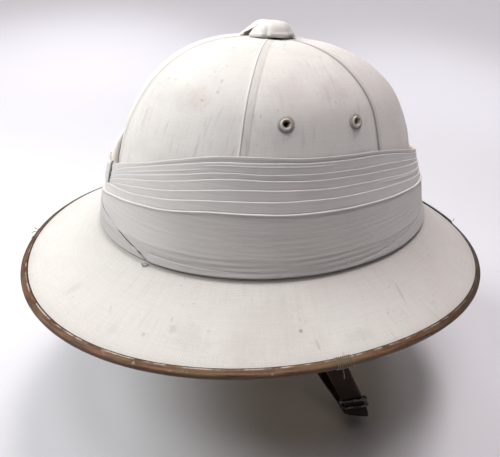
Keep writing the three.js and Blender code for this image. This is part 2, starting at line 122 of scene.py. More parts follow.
def lit(name, kind, power, colour, settings):
    data = bpy.data.lights.new(name, kind)
    data.energy = power
    data.color = colour
    for setting, value in settings.items():
        setattr(data, setting, value)
    lamp = bpy.data.objects.new(name, data)
    scene.collection.objects.link(lamp)
    return lamp


def aimed(lamp, azimuth, elevation, distance=0.0):
    """Turns a lamp to the helmet, at a distance from it in metres."""
    turn, tilt = math.radians(azimuth), math.radians(elevation)
    towards = Vector((math.sin(turn) * math.cos(tilt), -math.cos(turn) * math.cos(tilt), math.sin(tilt)))
    lamp.location = towards * distance
    lamp.rotation_euler = towards.to_track_quat("Z", "Y").to_euler()


scene.view_settings.view_transform = "Standard"
scene.view_settings.look = "None"
scene.world = bpy.data.worlds.new("room")
scene.world.use_nodes = True
room = scene.world.node_tree.nodes["Background"].inputs
room["Color"].default_value = (0.93, 0.96, 1.0, 1.0)
room["Strength"].default_value = 0.004
for name, azimuth, elevation, spread, strength, colour in ROOM_LIGHT:
    aimed(lit(name, "SUN", strength, colour, {"angle": math.radians(spread)}), azimuth, elevation)
aimed(lit("lamp_left", "AREA", 7.3, (0.97, 1.0, 0.985), ROUND_LAMP), 338, 41, 1.0)
aimed(lit("lamp_behind", "AREA", 1.8, (1.0, 0.95, 0.96), ROUND_LAMP), 250, 60, 0.9)
for name, sideways, power in (("floor_lamp_left", -0.66, 27.0), ("floor_lamp_right", 0.6, 16.0)):
    over_floor = lit(name, "SPOT", power, (0.98, 0.97, 1.0), WIDE_CONE)
    over_floor.location = (0.4 * sideways - 1.1, 0.916 * sideways + 0.48, 1.0)

bpy.ops.object.select_all(action="DESELECT")
bpy.ops.mesh.primitive_grid_add(
    x_subdivisions=8, y_subdivisions=160, size=FLOOR_SIZE,
    rotation=(0.0, 0.0, CAMERA_TURN), location=(0.0, 0.0, FLOOR_HEIGHT),
)
bpy.ops.object.transform_apply(location=True, rotation=True, scale=True)
floor = bpy.context.object
floor.name = "floor"
away = Vector((-math.sin(CAMERA_TURN), math.cos(CAMERA_TURN), 0.0))
for vertex in floor.data.vertices:
    behind = max(0.0, vertex.co.dot(away) - SWEEP["starts"])
    vertex.co.z += SWEEP["slope"] * behind * min(1.0, behind / SWEEP["eases_over"])
bpy.ops.object.shade_smooth()
paper = bpy.data.materials.new("floor_paper")
paper.use_nodes = True
matt = paper.node_tree.nodes["Principled BSDF"].inputs
matt["Base Color"].default_value = (0.645, 0.65, 0.69, 1.0)
matt["Roughness"].default_value = 0.9
floor.data.materials.append(paper)
floor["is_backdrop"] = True

# The body is moulded from thin layers of plant pith: an oval crown and a sloping brim in one shell,
# open underneath, with a round vent hole at the top. Its bare straw-coloured layers show inside.
CROWN_SECTIONS = [
    # height, front, side, back half-lengths, dip at the front, all in mm
    (-1.5, 112.0, 102.0, 131.0, 6.0),
    (20.0, 103.0, 95.0, 121.0, 2.0),
    (44.0, 97.5, 87.5, 111.5, 0.0),
    (64.0, 92.0, 81.5, 105.5, 0.0),
    (83.0, 82.0, 75.5, 94.5, 0.0),
    (94.0, 73.0, 68.5, 84.5, 0.0),
    (103.5, 61.5, 58.0, 71.0, 0.0),
    (110.3, 49.0, 46.5, 56.5, 0.0),
    (114.8, 34.5, 33.0, 39.5, 0.0),
    (116.9, 19.0, 18.5, 21.0, 0.0),
    (117.4, 9.0, 9.0, 9.0, 0.0),
]
BRIM_EDGE = {"front": 162.7, "side": 146.2, "back": 178.7}
BRIM_EDGE_HEIGHT = {"front": -34.0, "left": -21.5, "back": -34.0, "right": -28.0}
BRIM_SAG = {"depth": 6.0, "degrees": 295, "width": 27}  # the edge at the right of the front has sunk
BRIM_HOLLOW = 0.22
BRIM_ROOT = 4.0
BRIM_RIM = 1.8
BRIM_NOSE = 0.8
CROWN_WALL = 8.0
INNER_FILLET = [(6.4, 4.3), (4.6, 5.6), (2.0, 6.0)]  # inwards and down from the crown's foot
VENT = {"radius": 7.0, "foot": 109.4, "top": 117.4}
ROUND = np.linspace(0.0, 2 * math.pi, 241)


def bell(value, width):
    """1 where a value is 0, falling smoothly to about a third at the width."""
    return np.exp(-((value / width) ** 2))


def run_on(rows):
    """Rows with one more at each end, straight on."""
    return np.vstack([2 * rows[0] - rows[1], rows, 2 * rows[-1] - rows[-2]])


def curved(t, begin, end, leave, arrive):
    """A curve from begin to end with the slopes that it leaves and arrives with; t runs from 0 to 1."""
    return (
        (2 * t**3 - 3 * t**2 + 1) * begin + (t**3 - 2 * t**2 + t) * leave
        + (3 * t**2 - 2 * t**3) * end + (t**3 - t**2) * arrive
    )


def along_table(rows, share):
    """A smooth curve through the rows of a table; share runs from 0 at the first row to 1."""
    padded = run_on(np.array(rows, float))
    place = np.clip(share, 0.0, 1.0) * (len(rows) - 1)
    i = np.minimum(place.astype(int), len(rows) - 2)
    p0, p1, p2, p3 = (padded[i + k] for k in range(4))
    return curved((place - i)[..., None], p1, p2, (p2 - p0) / 2, (p3 - p1) / 2)


def oval_radius(azimuth, front, side, back):
    ahead = np.cos(azimuth)
    return 1.0 / np.hypot(ahead / np.where(ahead > 0, front, back), np.sin(azimuth) / side)


def round_value(azimuth, ends, front_sharpness=2.0, back_sharpness=2.0):
    """A value that changes from the side's to the front's or the back's."""
    ahead = np.cos(azimuth)
    end = np.where(ahead > 0, ends["front"], ends["back"])
    power = np.where(ahead > 0, front_sharpness, back_sharpness)
    return ends["side"] + (end - ends["side"]) * np.abs(ahead) ** power


def crown(azimuth, level):
    """Radius and height in mm on the crown; level runs from 0 at its foot to 1 at the vent hole."""
    height, front, side, back, dip = np.moveaxis(along_table(CROWN_SECTIONS, level), -1, 0)
    ahead = np.cos(azimuth)
    return oval_radius(azimuth, front, side, back), height - np.where(ahead > 0, dip, 0.0) * ahead**2


def brim(azimuth, share):
    """Radius and height in mm on the brim; share runs from 0 at the crown's foot to 1 at the edge."""
    foot_radius, foot_height = crown(azimuth, 0.0)
    edge_radius = oval_radius(azimuth, BRIM_EDGE["front"], BRIM_EDGE["side"], BRIM_EDGE["back"])
    side = np.where(np.sin(azimuth) < 0, BRIM_EDGE_HEIGHT["right"], BRIM_EDGE_HEIGHT["left"])
    edge_height = round_value(azimuth, BRIM_EDGE_HEIGHT | {"side": side})
    from_sag = np.degrees(azimuth) % 360 - BRIM_SAG["degrees"]
    edge_height = edge_height - BRIM_SAG["depth"] * bell(from_sag, BRIM_SAG["width"])
    fall = share * (1 + BRIM_HOLLOW) - BRIM_HOLLOW * share**2
    return (
        foot_radius + (edge_radius - foot_radius) * share,
        foot_height + (edge_height - foot_height) * fall,
    )


def brim_wall(share):
    return BRIM_ROOT + (BRIM_RIM - BRIM_ROOT) * share


def lifted(profile, azimuth, at, distance, turn):
    """A profile's points moved off its surface by a distance in mm."""
    azimuth, at = np.broadcast_arrays(np.asarray(azimuth, float), np.asarray(at, float))
    r0, z0 = profile(azimuth, np.maximum(at - 1e-3, 0.0))
    r1, z1 = profile(azimuth, np.minimum(at + 1e-3, 1.0))
    length = np.hypot(r1 - r0, z1 - z0)
    radius, height = profile(azimuth, at)
    return (
        radius + turn * distance * (z1 - z0) / length,
        height - turn * distance * (r1 - r0) / length,
    )


def on_crown(azimuth, level, distance):
    return lifted(crown, azimuth, level, distance, 1.0)


def on_brim(azimuth, share, distance):
    return lifted(brim, azimuth, share, distance, -1.0)


def stand(azimuth, radius, height):
    """Points in metres from an azimuth, a radius and a height in mm; azimuth 0 is the front."""
    azimuth, radius, height = np.broadcast_arrays(azimuth, radius, height)
    return np.stack([radius * np.sin(azimuth), -radius * np.cos(azimuth), height], axis=-1) * mm


def flat_grid(across, up):
    return np.stack(np.meshgrid(across, up), axis=-1)


def lay_grid(name, points, flat):
    """A grid laid out on points[row, column]; flat gives each point's place on the flat piece, in metres."""
    rows, columns = points.shape[0] - 1, points.shape[1] - 1
    bpy.ops.object.select_all(action="DESELECT")
    bpy.ops.mesh.primitive_grid_add(x_subdivisions=columns, y_subdivisions=rows, size=1.0)
    piece = bpy.context.object
    piece.name = piece.data.name = name
    square = np.empty(len(piece.data.vertices) * 3)
    piece.data.vertices.foreach_get("co", square)
    column = np.rint((square[0::3] + 0.5) * columns).astype(int)
    row = np.rint((square[1::3] + 0.5) * rows).astype(int)
    piece.data.vertices.foreach_set("co", points[row, column].ravel())
    corner = np.empty(len(piece.data.loops), int)
    piece.data.loops.foreach_get("vertex_index", corner)
    piece.data.uv_layers.active.data.foreach_set("uv", flat[row, column][corner].ravel())
    return piece, row, column


def take(piece):
    bpy.ops.object.select_all(action="DESELECT")
    piece.select_set(True)
    bpy.context.view_layer.objects.active = piece


def close_up(piece, turn_out=True):
    """Merges the points where a grid meets itself and smooths it; a closed piece's faces turn outwards."""
    take(piece)
    bpy.ops.object.mode_set(mode="EDIT")
    bpy.ops.mesh.select_all(action="SELECT")
    bpy.ops.mesh.remove_doubles(threshold=0.01 * mm)
    if turn_out:
        bpy.ops.mesh.normals_make_consistent(inside=False)
    bpy.ops.object.mode_set(mode="OBJECT")
    bpy.ops.object.shade_smooth()


class Nodes:
    """Makes the nodes of a finish or an effect; a value is a number, a colour or another node's output."""

    def __init__(self, tree):
        self.tree = tree

    def feed(self, socket, value):
        if isinstance(value, bpy.types.NodeSocket):
            self.tree.links.new(value, socket)
        else:
            socket.default_value = (*value, 1.0) if socket.type == "RGBA" else value

    def add(self, kind, settings=None, inputs=None):
        made = self.tree.nodes.new(kind)
        for name, value in (settings or {}).items():
            setattr(made, name, value)
        for name, value in (inputs or {}).items():
            self.feed(made.inputs[name], value)
        return made

    def maths(self, operation, *values):
        return self.add("ShaderNodeMath", {"operation": operation}, dict(enumerate(values))).outputs[0]

    def mixed(self, amount, first, second):
        return self.add("ShaderNodeMix", {"data_type": "RGBA"}, {0: amount, 6: first, 7: second}).outputs[2]

    def ranged(self, value, low, high, to_low=0.0, to_high=1.0):
        return self.add(
            "ShaderNodeMapRange", {"interpolation_type": "SMOOTHSTEP"},
            {"Value": value, "From Min": low, "From Max": high, "To Min": to_low, "To Max": to_high},
        ).outputs["Result"]

    def clouds(self, where, scale, detail=3.0, roughness=0.55):
        return self.add(
            "ShaderNodeTexNoise", None,
            {"Vector": where, "Scale": scale, "Detail": detail, "Roughness": roughness},
        ).outputs["Fac"]

    def stretched(self, where, scale, turn=(0.0, 0.0, 0.0)):
        inputs = {"Vector": where, "Rotation": turn, "Scale": scale}
        return self.add("ShaderNodeMapping", None, inputs).outputs["Vector"]


class Finish(Nodes):
    """A material in the making: where on its piece and its flat cloth it is, and its colour so far."""

    def __init__(self, name, roughness, sheen=0.0, shine=0.5):
        self.material = bpy.data.materials.new(name)
        self.material.use_nodes = True
        super().__init__(self.material.node_tree)
        self.shader = self.tree.nodes["Principled BSDF"].inputs
        self.shader["Roughness"].default_value = roughness
        self.shader["Sheen Weight"].default_value = sheen
        self.shader["Specular IOR Level"].default_value = shine
        coordinates = self.add("ShaderNodeTexCoord").outputs
        self.place, self.flat = coordinates["Object"], coordinates["UV"]

    def told(self, name):
        """A value that tell gave to each point of the piece."""
        return self.add("ShaderNodeAttribute", {"attribute_name": name}).outputs["Fac"]

    def paint(self, amount, first, second):
        """Starts with a colour that goes from the first to the second as the amount rises."""
        self.colour = self.mixed(amount, first, second)
        self.feed(self.shader["Base Color"], self.colour)

    def lay(self, mask, strength, colour):
        """Lays a colour over what is there, where the mask is 1."""
        self.paint(self.maths("MULTIPLY", mask, strength), self.colour, colour)

    def raised(self, height, distance, strength=1.0):
        inputs = {"Height": height, "Distance": distance, "Strength": strength}
        self.feed(self.shader["Normal"], self.add("ShaderNodeBump", None, inputs).outputs["Normal"])


def fixed(piece, finish, slot, *nodes):
    """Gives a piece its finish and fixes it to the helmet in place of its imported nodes."""
    piece.data.materials.append(finish.material)
    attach(piece, "root")
    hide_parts(*nodes)


levels = np.linspace(0.0, 1.0, 40)
shares = np.linspace(0.0, 1.0, 14)
foot_radius, foot_height = crown(ROUND, 0.0)
body_rows = [(VENT["radius"], VENT["foot"])]
body_rows += [on_crown(ROUND, level, -CROWN_WALL) for level in levels[::-1]]
body_rows += [(foot_radius - inwards, foot_height - down) for inwards, down in INNER_FILLET]
body_rows += [on_brim(ROUND, share, -brim_wall(share)) for share in shares[2:]]
for angle in np.radians([-45, 0, 45]):
    radius, height = on_brim(ROUND, 1.0, BRIM_RIM / 2 * (math.sin(angle) - 1.0))
    body_rows.append((radius + BRIM_NOSE * math.cos(angle), height))
body_rows += [brim(ROUND, share) for share in shares[:0:-1]]
body_rows += [crown(ROUND, level) for level in levels]
body_rows += [(VENT["radius"], VENT["top"]), body_rows[0]]
body_points = np.stack([stand(ROUND, *row) for row in body_rows])
body_flat = flat_grid(ROUND * 0.1, np.linspace(0.0, 0.4, len(body_rows)))
pith_body, _, _ = lay_grid("pith_shell", body_points, body_flat)
close_up(pith_body)

pith = Finish("layered_pith", 0.95)
layers = pith.clouds(pith.stretched(pith.place, (18.0, 18.0, 420.0)), 1.0, 4.0, 0.6)
pith.paint(layers, (0.38, 0.31, 0.21), (0.58, 0.50, 0.37))
pith.lay(pith.ranged(pith.clouds(pith.place, 22.0), 0.45, 0.75), 0.5, (0.32, 0.25, 0.165))
pores = pith.clouds(pith.place, 900.0, 2.0)
pith.raised(pith.maths("MULTIPLY_ADD", layers, 0.7, pores), 0.5 * mm, 0.6)
fixed(pith_body, pith, "pith", "pith_body")

# Six gores of whitened cotton drill cover the crown, sewn edge to edge. Each gore's left edge is
# felled: turned under and stitched down flat, so that a slightly raised strip runs beside every seam.
PANELS = 6
SPAN = 2 * math.pi / PANELS
SEAM_GAP = 0.02
FELLED = 4.0
SEWN_AT = FELLED + 0.25
COVER = 1.2
GORE_CLOTH = 0.85
# How dark and how wide the dirt in each seam has become, from the front seam round by the left
SEAM_DIRT = [0.25, 0.12, 1.2, 1.0, 0.5, 0.4]
SEAM_WIDTH = [0.45, 0.4, 1.2, 1.0, 0.6, 0.5]
# The seam ahead of the left side was sewn a little forward
SEAM_DRIFT = math.radians(1.5)
# Distances in mm from a gore's left and right edge where its grid is fine
LEFT_STEPS = np.array([0.0, 0.25, 0.5, 0.8, 1.1, 1.5, 2.0, 2.6, 3.2, 3.6, 3.9, 4.2, 4.5, 4.9, 5.5])
RIGHT_STEPS = np.array([0.0, 0.25, 0.5, 0.8, 1.2, 2.0])
MIDDLE_STEPS = 30
CROWN_MARKS = [
    # centre and size in metres, strength, colour of the stain
    ((0.0468, -0.0607, 0.0896), (0.009, 0.010, 0.011), 0.24, (0.66, 0.46, 0.40)),
    ((0.0511, -0.0518, 0.0934), (0.0013, 0.0013, 0.0055), 0.35, (0.45, 0.40, 0.37)),
    ((0.0403, -0.0676, 0.0875), (0.012, 0.012, 0.012), 0.16, (0.50, 0.45, 0.40)),
    ((0.0651, -0.0155, 0.0975), (0.013, 0.016, 0.012), 0.20, (0.60, 0.50, 0.47)),
    ((0.0661, 0.0126, 0.0975), (0.012, 0.014, 0.012), 0.20, (0.60, 0.50, 0.47)),
    ((0.0240, -0.0740, 0.0880), (0.020, 0.012, 0.014), 0.14, (0.52, 0.49, 0.46)),
    # The last two darken the gap beside the vent cap's loose lobe: painted shade.
    ((-0.0007, -0.0182, 0.1198), (0.0017, 0.0042, 0.0036), 0.95, (0.085, 0.060, 0.045)),
    ((-0.0004, -0.0150, 0.1216), (0.0022, 0.0042, 0.0036), 0.95, (0.085, 0.060, 0.045)),
]
panel_levels = np.linspace(0.0, 1.0, 84)


def unevenness(azimuth, height, swell):
    """Slow hand-made waves over the cloth, about one mm times swell."""
    return swell * (
        0.45 * np.sin(5 * azimuth + 0.031 * height + 0.6) + 0.3 * np.sin(9 * azimuth - 0.052 * height + 2.1)
        + 0.25 * np.sin(14 * azimuth + 0.083 * height + 4.0) + 0.2 * np.sin(3 * azimuth - 0.11 * height + 1.1)
    )


def way_along(points):
    """How far along its points a line has come at each of them."""
    return np.concatenate([[0.0], np.cumsum(np.linalg.norm(np.diff(points, axis=0), axis=1))])


def tell(piece, name, values):
    """Gives each point of a piece a value that its material reads."""
    piece.data.attributes.new(name, "FLOAT", "POINT").data.foreach_set("value", values.astype(np.float32))


def thicken(piece, thickness):
    wall = piece.modifiers.new("wall", "SOLIDIFY")
    wall.thickness = thickness * mm
    wall.offset = -1.0
    wall.use_even_offset = False
    bpy.ops.object.modifier_apply(modifier=wall.name)


def gore(number):
    start, after = number * SPAN, (number + 1) % PANELS
    middle = np.stack(crown(start + SPAN / 2, panel_levels), axis=-1)
    up = way_along(middle)
    arcs = middle[:, 0] * SPAN - SEAM_GAP
    left = np.stack([
        np.concatenate([
            LEFT_STEPS,
            np.linspace(LEFT_STEPS[-1], arc - RIGHT_STEPS[-1], MIDDLE_STEPS + 2)[1:-1],
            arc - RIGHT_STEPS[::-1],
        ])
        for arc in arcs
    ])
    right = arcs[:, None] - left
    azimuth = start + (left + SEAM_GAP / 2) / middle[:, :1]
    azimuth = azimuth - SEAM_DRIFT * bell(azimuth - SPAN, 0.35)
    level = panel_levels[:, None]
    strip = np.clip((FELLED + 0.4 - left) / 0.8, 0, 1)
    lip = bell(right, 1.1) - 0.5 * bell(right, 0.3)
    lip_height = 0.42 if SEAM_DIRT[after] < 0.8 else 0.15
    lift = COVER + unevenness(azimuth, crown(azimuth, level)[1], 0.18) + 0.12 * strip + lip_height * lip
    lift = lift - 0.08 * bell(left, 0.5) - 0.07 * bell(left - SEWN_AT, 0.45)
    points = stand(azimuth, *on_crown(azimuth, level, lift))
    flat = np.stack([(left - right) / 2, np.broadcast_to(up[:, None], left.shape)], axis=-1) * mm
    piece, row, column = lay_grid(f"gore_{number + 1}", points, flat)
    bpy.ops.object.shade_smooth()
    # Dirt darkens each seam line; the felled strip beside it and its stitch groove get painted shade.
    dark = SEAM_DIRT[number] * bell(left, SEAM_WIDTH[number])
    dark = dark + SEAM_DIRT[after] * bell(1.3 * right, SEAM_WIDTH[after])
    dark = np.maximum(dark, 0.19 * strip + 0.06 * bell(left - SEWN_AT, 0.4))
    # A painted highlight along the raised lip at the gore's right edge, weaker where that seam is dirty.
    worn = bell(right - 0.7, 0.6) * max(0.0, 1.0 - SEAM_DIRT[after])
    tell(piece, "seam", dark[row, column])
    tell(piece, "wear_and_painted_highlight", worn[row, column])
    thicken(piece, GORE_CLOTH)
    return piece


class Effect(Nodes):
    """A node group that several finishes share; every output is a value."""

    def __init__(self, name, inputs, outputs):
        super().__init__(bpy.data.node_groups.new(name, "ShaderNodeTree"))
        for socket, kind in inputs.items():
            self.tree.interface.new_socket(socket, in_out="INPUT", socket_type=f"NodeSocket{kind}")
        for socket in outputs:
            self.tree.interface.new_socket(socket, in_out="OUTPUT", socket_type="NodeSocketFloat")
        self.given = self.add("NodeGroupInput").outputs
        self.result = self.add("NodeGroupOutput").inputs

    def vector(self, operation, inputs, output="Vector"):
        return self.add("ShaderNodeVectorMath", {"operation": operation}, inputs).outputs[output]

    def give(self, name, value):
        self.feed(self.result[name], value)

    def placed(self, finish, **inputs):
        return finish.add("ShaderNodeGroup", {"node_tree": self.tree}, inputs).outputs


def weave_effect():
    """Plain weave on flat coordinates in metres: the threads' height, and slubs where a thread is thicker."""
    made = Effect("plain_weave", {"Cloth": "Vector", "Threads": "Float"}, ("Height", "Slub"))
    scaled = made.vector("SCALE", {0: made.given["Cloth"], "Scale": made.given["Threads"]})
    sway = made.clouds(made.stretched(scaled, (0.05, 0.05, 0.05)), 1.0, 2.0)
    shifted = made.vector("ADD", {0: scaled, 1: made.maths("MULTIPLY", sway, 3.0)})
    split = made.add("ShaderNodeSeparateXYZ", None, {"Vector": shifted}).outputs
    warp, weft = (
        made.maths("ABSOLUTE", made.maths("SINE", made.maths("MULTIPLY", split[axis], math.pi)))
        for axis in "XY"
    )
    cells = made.maths("ADD", *(made.maths("FLOOR", split[axis]) for axis in "XY"))
    over = made.maths("PINGPONG", cells, 1.0)
    under = made.maths("SUBTRACT", 1.0, over)
    made.give("Height", made.maths("MULTIPLY_ADD", over, warp, made.maths("MULTIPLY", under, weft)))
    slubs = (
        made.clouds(made.stretched(scaled, scale), 1.0, 2.0, 0.6)
        for scale in ((0.035, 0.9, 1.0), (0.9, 0.035, 1.0))
    )
    made.give("Slub", made.maths("MULTIPLY", made.maths("ADD", *slubs), 0.5))
    return made


def soil_effect():
    """Wear that lies over everything: slow grey patches, fine flecks and thin scratches."""
    made = Effect("soil", {"Place": "Vector"}, ("Patch", "Fleck", "Scratch"))
    where = made.given["Place"]
    made.give("Patch", made.ranged(made.clouds(where, 17.0, 5.0, 0.62), 0.42, 0.72))
    fine = made.ranged(made.clouds(where, 310.0, 2.0, 0.5), 0.66, 0.74)
    sparse = made.ranged(made.clouds(where, 42.0, 2.0), 0.46, 0.64)
    made.give("Fleck", made.maths("MULTIPLY", fine, sparse))
    slanted = made.stretched(where, (520.0, 38.0, 210.0), (0.3, 0.5, 0.7))
    lines = made.ranged(made.clouds(slanted, 1.0, 1.0), 0.7, 0.78)
    some = made.ranged(made.clouds(where, 30.0, 1.0), 0.56, 0.66)
    made.give("Scratch", made.maths("MULTIPLY", lines, some))
    return made


def mark_effect():
    """A soft uneven mark round one point: 1 in its middle and 0 outside its size."""
    made = Effect("mark", {"Place": "Vector", "Centre": "Vector", "Size": "Vector"}, ("Mask",))
    away = made.vector("SUBTRACT", {0: made.given["Place"], 1: made.given["Centre"]})
    scaled = made.vector("DIVIDE", {0: away, 1: made.given["Size"]})
    distance = made.vector("LENGTH", {0: scaled}, "Value")
    ragged = made.maths("MULTIPLY_ADD", made.clouds(scaled, 2.2, 4.0, 0.65), 1.4, distance)
    made.give("Mask", made.ranged(ragged, 1.0, 1.65, 1.0, 0.0))
    return made


weave, soil, mark = weave_effect(), soil_effect(), mark_effect()


def drill_cloth(name, threads, fresh, worn, marks):
    """Whitened drill: a visible weave, pale with wear and painted highlights on its raised edges and folds,
    grey with dirt and painted shade in its seams, creases and gaps, and soiled patches.
    """
    drill = Finish(name, 0.88, 0.08)
    cloth = weave.placed(drill, Cloth=drill.flat, Threads=threads)
    dirt = soil.placed(drill, Place=drill.place)
    drill.paint(drill.ranged(cloth["Slub"], 0.36, 0.66), fresh, worn)
    drill.lay(dirt["Patch"], 0.30, (0.60, 0.535, 0.50))
    strokes = drill.clouds(drill.stretched(drill.flat, (420.0, 45.0, 1.0)), 1.0, 3.0, 0.6)
    smeared = drill.ranged(drill.clouds(drill.place, 26.0, 2.0), 0.46, 0.64)
    brushed = drill.maths("MULTIPLY", drill.ranged(strokes, 0.5, 0.72), smeared)
    drill.lay(brushed, 0.36, (0.50, 0.45, 0.42))
    # Pale wear, and painted highlights on raised lips and edges, as each piece marks them.
    drill.lay(drill.told("wear_and_painted_highlight"), 0.6, (0.90, 0.885, 0.86))
    drill.lay(dirt["Fleck"], 0.4, (0.30, 0.27, 0.24))
    drill.lay(dirt["Scratch"], 0.22, (0.42, 0.38, 0.35))
    for centre, size, strength, stain in marks:
        mask = mark.placed(drill, Place=drill.place, Centre=centre, Size=size)["Mask"]
        drill.lay(mask, strength, stain)
    # Dirt in the seams, and painted shade in creases, gaps and under the cap's lobes, as each piece marks
    # them.
    drill.lay(drill.told("seam"), 0.72, (0.20, 0.175, 0.15))
    drill.raised(drill.maths("MULTIPLY_ADD", cloth["Slub"], 1.2, cloth["Height"]), 0.16 * mm)
    return drill


crown_cloth = drill_cloth("crown_drill", 1550.0, (0.885, 0.86, 0.82), (0.83, 0.805, 0.765), CROWN_MARKS)
for number in range(PANELS):
    panel = gore(number)
    fixed(panel, crown_cloth, "crown_cloth", f"crown_panel_{number + 1}")

# One flat ring of the same drill is stretched over the top of the brim and glued down; its outer edge
# runs under the leather binding and its inner edge under the foot of the crown's cloth.
BRIM_CLOTH = 0.6
BRIM_CLOTH_LIFT = 1.0
TURNED_UP = {"out": 1.25, "up": 1.7}
TURN_STARTS = 1.05
MIDDLE_RADIUS = 130 * mm
BRIM_MARKS = [
    # centre and size in metres, strength, colour of the stain
    ((0.1267, -0.025, -0.0139), (0.0014, 0.0014, 0.0014), 0.7, (0.18, 0.14, 0.13)),
    ((0.1026, -0.0861, -0.0176), (0.003, 0.003, 0.003), 0.3, (0.36, 0.33, 0.31)),
    ((0.1353, -0.0192, -0.017), (0.004, 0.0009, 0.004), 0.4, (0.30, 0.25, 0.23)),
    ((0.1173, 0.0448, -0.0116), (0.010, 0.0014, 0.006), 0.35, (0.36, 0.31, 0.29)),
    ((0.125, -0.056, -0.0185), (0.010, 0.016, 0.006), 0.16, (0.44, 0.41, 0.38)),
    ((0.136, 0.006, -0.0170), (0.005, 0.011, 0.006), 0.2, (0.42, 0.42, 0.39)),
    ((0.088, -0.121, -0.022), (0.010, 0.014, 0.006), 0.18, (0.42, 0.39, 0.36)),
    # A wide soft grey patch over the middle of the near brim: painted shadow of the crown.
    ((0.1220, -0.0380, -0.0150), (0.026, 0.034, 0.020), 0.30, (0.50, 0.455, 0.435)),
    ((0.0483, -0.1322, -0.0225), (0.004, 0.010, 0.006), 0.22, (0.42, 0.40, 0.38)),
    ((0.1105, -0.0791, -0.0183), (0.016, 0.012, 0.006), 0.16, (0.44, 0.40, 0.37)),
]
brim_shares = np.linspace(0.0, 1.0, 30)
fine_round = np.linspace(0.0, 2 * math.pi, 361)
inner_radius, inner_height = crown(fine_round, 0.0)
fine_run = brim(fine_round, 1.0)[0] - inner_radius
start_share = TURN_STARTS / fine_run
brim_rows = [stand(fine_round, inner_radius + TURNED_UP["out"], inner_height + TURNED_UP["up"])]
brim_flat = [np.stack([fine_round * MIDDLE_RADIUS, np.full_like(fine_round, -0.5 * mm)], axis=-1)]
for outwards in brim_shares:
    share = start_share + (1.0 - start_share) * outwards
    waves = unevenness(fine_round, brim(fine_round, share)[0], 0.25) * math.sin(math.pi * outwards)
    brim_rows.append(stand(fine_round, *on_brim(fine_round, share, BRIM_CLOTH_LIFT + waves)))
    brim_flat.append(np.stack([fine_round * MIDDLE_RADIUS, share * fine_run * mm], axis=-1))
brim_cover, row, _ = lay_grid("brim_cloth", np.stack(brim_rows)[::-1], np.stack(brim_flat)[::-1])
outwards = np.concatenate([[0.0], brim_shares])[::-1][row]
# The cloth gets painted shade along its inner edge at the crown's foot and along its outer edge under the
# binding; it is paler across the middle of its width.
tell(brim_cover, "seam", 0.30 * bell(1 - outwards, 0.09) + 0.45 * bell(outwards, 0.03))
tell(brim_cover, "wear_and_painted_highlight", 0.25 * np.sin(math.pi * outwards))
close_up(brim_cover, turn_out=False)
thicken(brim_cover, BRIM_CLOTH)
brim_drill = drill_cloth("brim_drill", 1350.0, (0.655, 0.637, 0.605), (0.60, 0.582, 0.55), BRIM_MARKS)
fixed(brim_cover, brim_drill, "crown_cloth", "brim_cover")

# A strip of brown leather is folded over the brim's edge, glued and sewn; wear has rubbed its roll
# pale, and whitening from the cloth has strayed over its inner edge. It laps over itself at the back.
BINDING_WIDTH = 2.7
BINDING_LEATHER = 0.6
LEAST_LIFT = 1.15
MOST_LIFT = 2.4
UNDERNEATH = 0.9
LAP = {"from": 171.5, "to": 190.5, "thickness": 0.9}
FULLNESS = [
    # degrees round the brim from the front by the left, how far the roll stands up
    (0, 0.75), (15, 1.0), (105, 1.0), (140, 0.3), (330, 0.2), (348, 0.4), (360, 0.75),
]
TURNED_DARK = [
    # degrees round the brim, how dark the leather has become
    (0, 0.15), (20, 0.0), (95, 0.0), (125, 0.75), (200, 0.85), (300, 0.85), (335, 0.7), (352, 0.3),
    (360, 0.15),
]


def read_off(value, table):
    """The second column of a table at a value of its first, straight between the rows."""
    return np.interp(value, *zip(*table))


lip = 1.0 - BINDING_WIDTH / fine_run
fine_degrees = np.degrees(fine_round)
doubled = LAP["thickness"] * ((fine_degrees > LAP["from"]) & (fine_degrees < LAP["to"]))
fullness = read_off(fine_degrees, FULLNESS)
roll = (MOST_LIFT - LEAST_LIFT) * fullness
binding_rows = []
for step in (0.0, 0.04, 0.1, 0.2, 0.35, 0.5, 0.65, 0.8, 0.92):
    lift = LEAST_LIFT + doubled + roll * math.sin(math.pi / 2 * step**0.62)
    binding_rows.append(on_brim(fine_round, lip + (1.0 - lip) * step, lift))
top, bottom = LEAST_LIFT + roll, -BRIM_RIM - UNDERNEATH
for angle in np.radians(np.linspace(78, -78, 13)):
    lift = (top + bottom) / 2 + ((top - bottom) / 2 + doubled) * math.sin(angle)
    radius, height = on_brim(fine_round, 1.0, lift)
    binding_rows.append((radius + (1.4 + 0.8 * fullness + doubled) * math.cos(angle), height))
for step in (0.9, 0.7, 0.45, 0.2, 0.05, 0.0):
    share = lip + (1.0 - lip) * step
    binding_rows.append(on_brim(fine_round, share, -brim_wall(share) - UNDERNEATH))
binding_points = np.stack([stand(fine_round, *row) for row in binding_rows])[::-1]
across = way_along(binding_points[:, 60])
binding_flat = flat_grid(fine_round * 0.155, across[-1] - across)
binding, _, column = lay_grid("leather_binding", binding_points, binding_flat)
tell(binding, "dark", read_off(fine_degrees[column], TURNED_DARK))
close_up(binding, turn_out=False)
thicken(binding, BINDING_LEATHER)


def pebbled(hide, scale, depth):
    """The grain of a hide: small cells with sunk edges."""
    inputs = {"Vector": hide.place, "Scale": scale}
    cells = hide.add("ShaderNodeTexVoronoi", {"feature": "DISTANCE_TO_EDGE"}, inputs)
    return hide.maths("MINIMUM", cells.outputs["Distance"], depth)


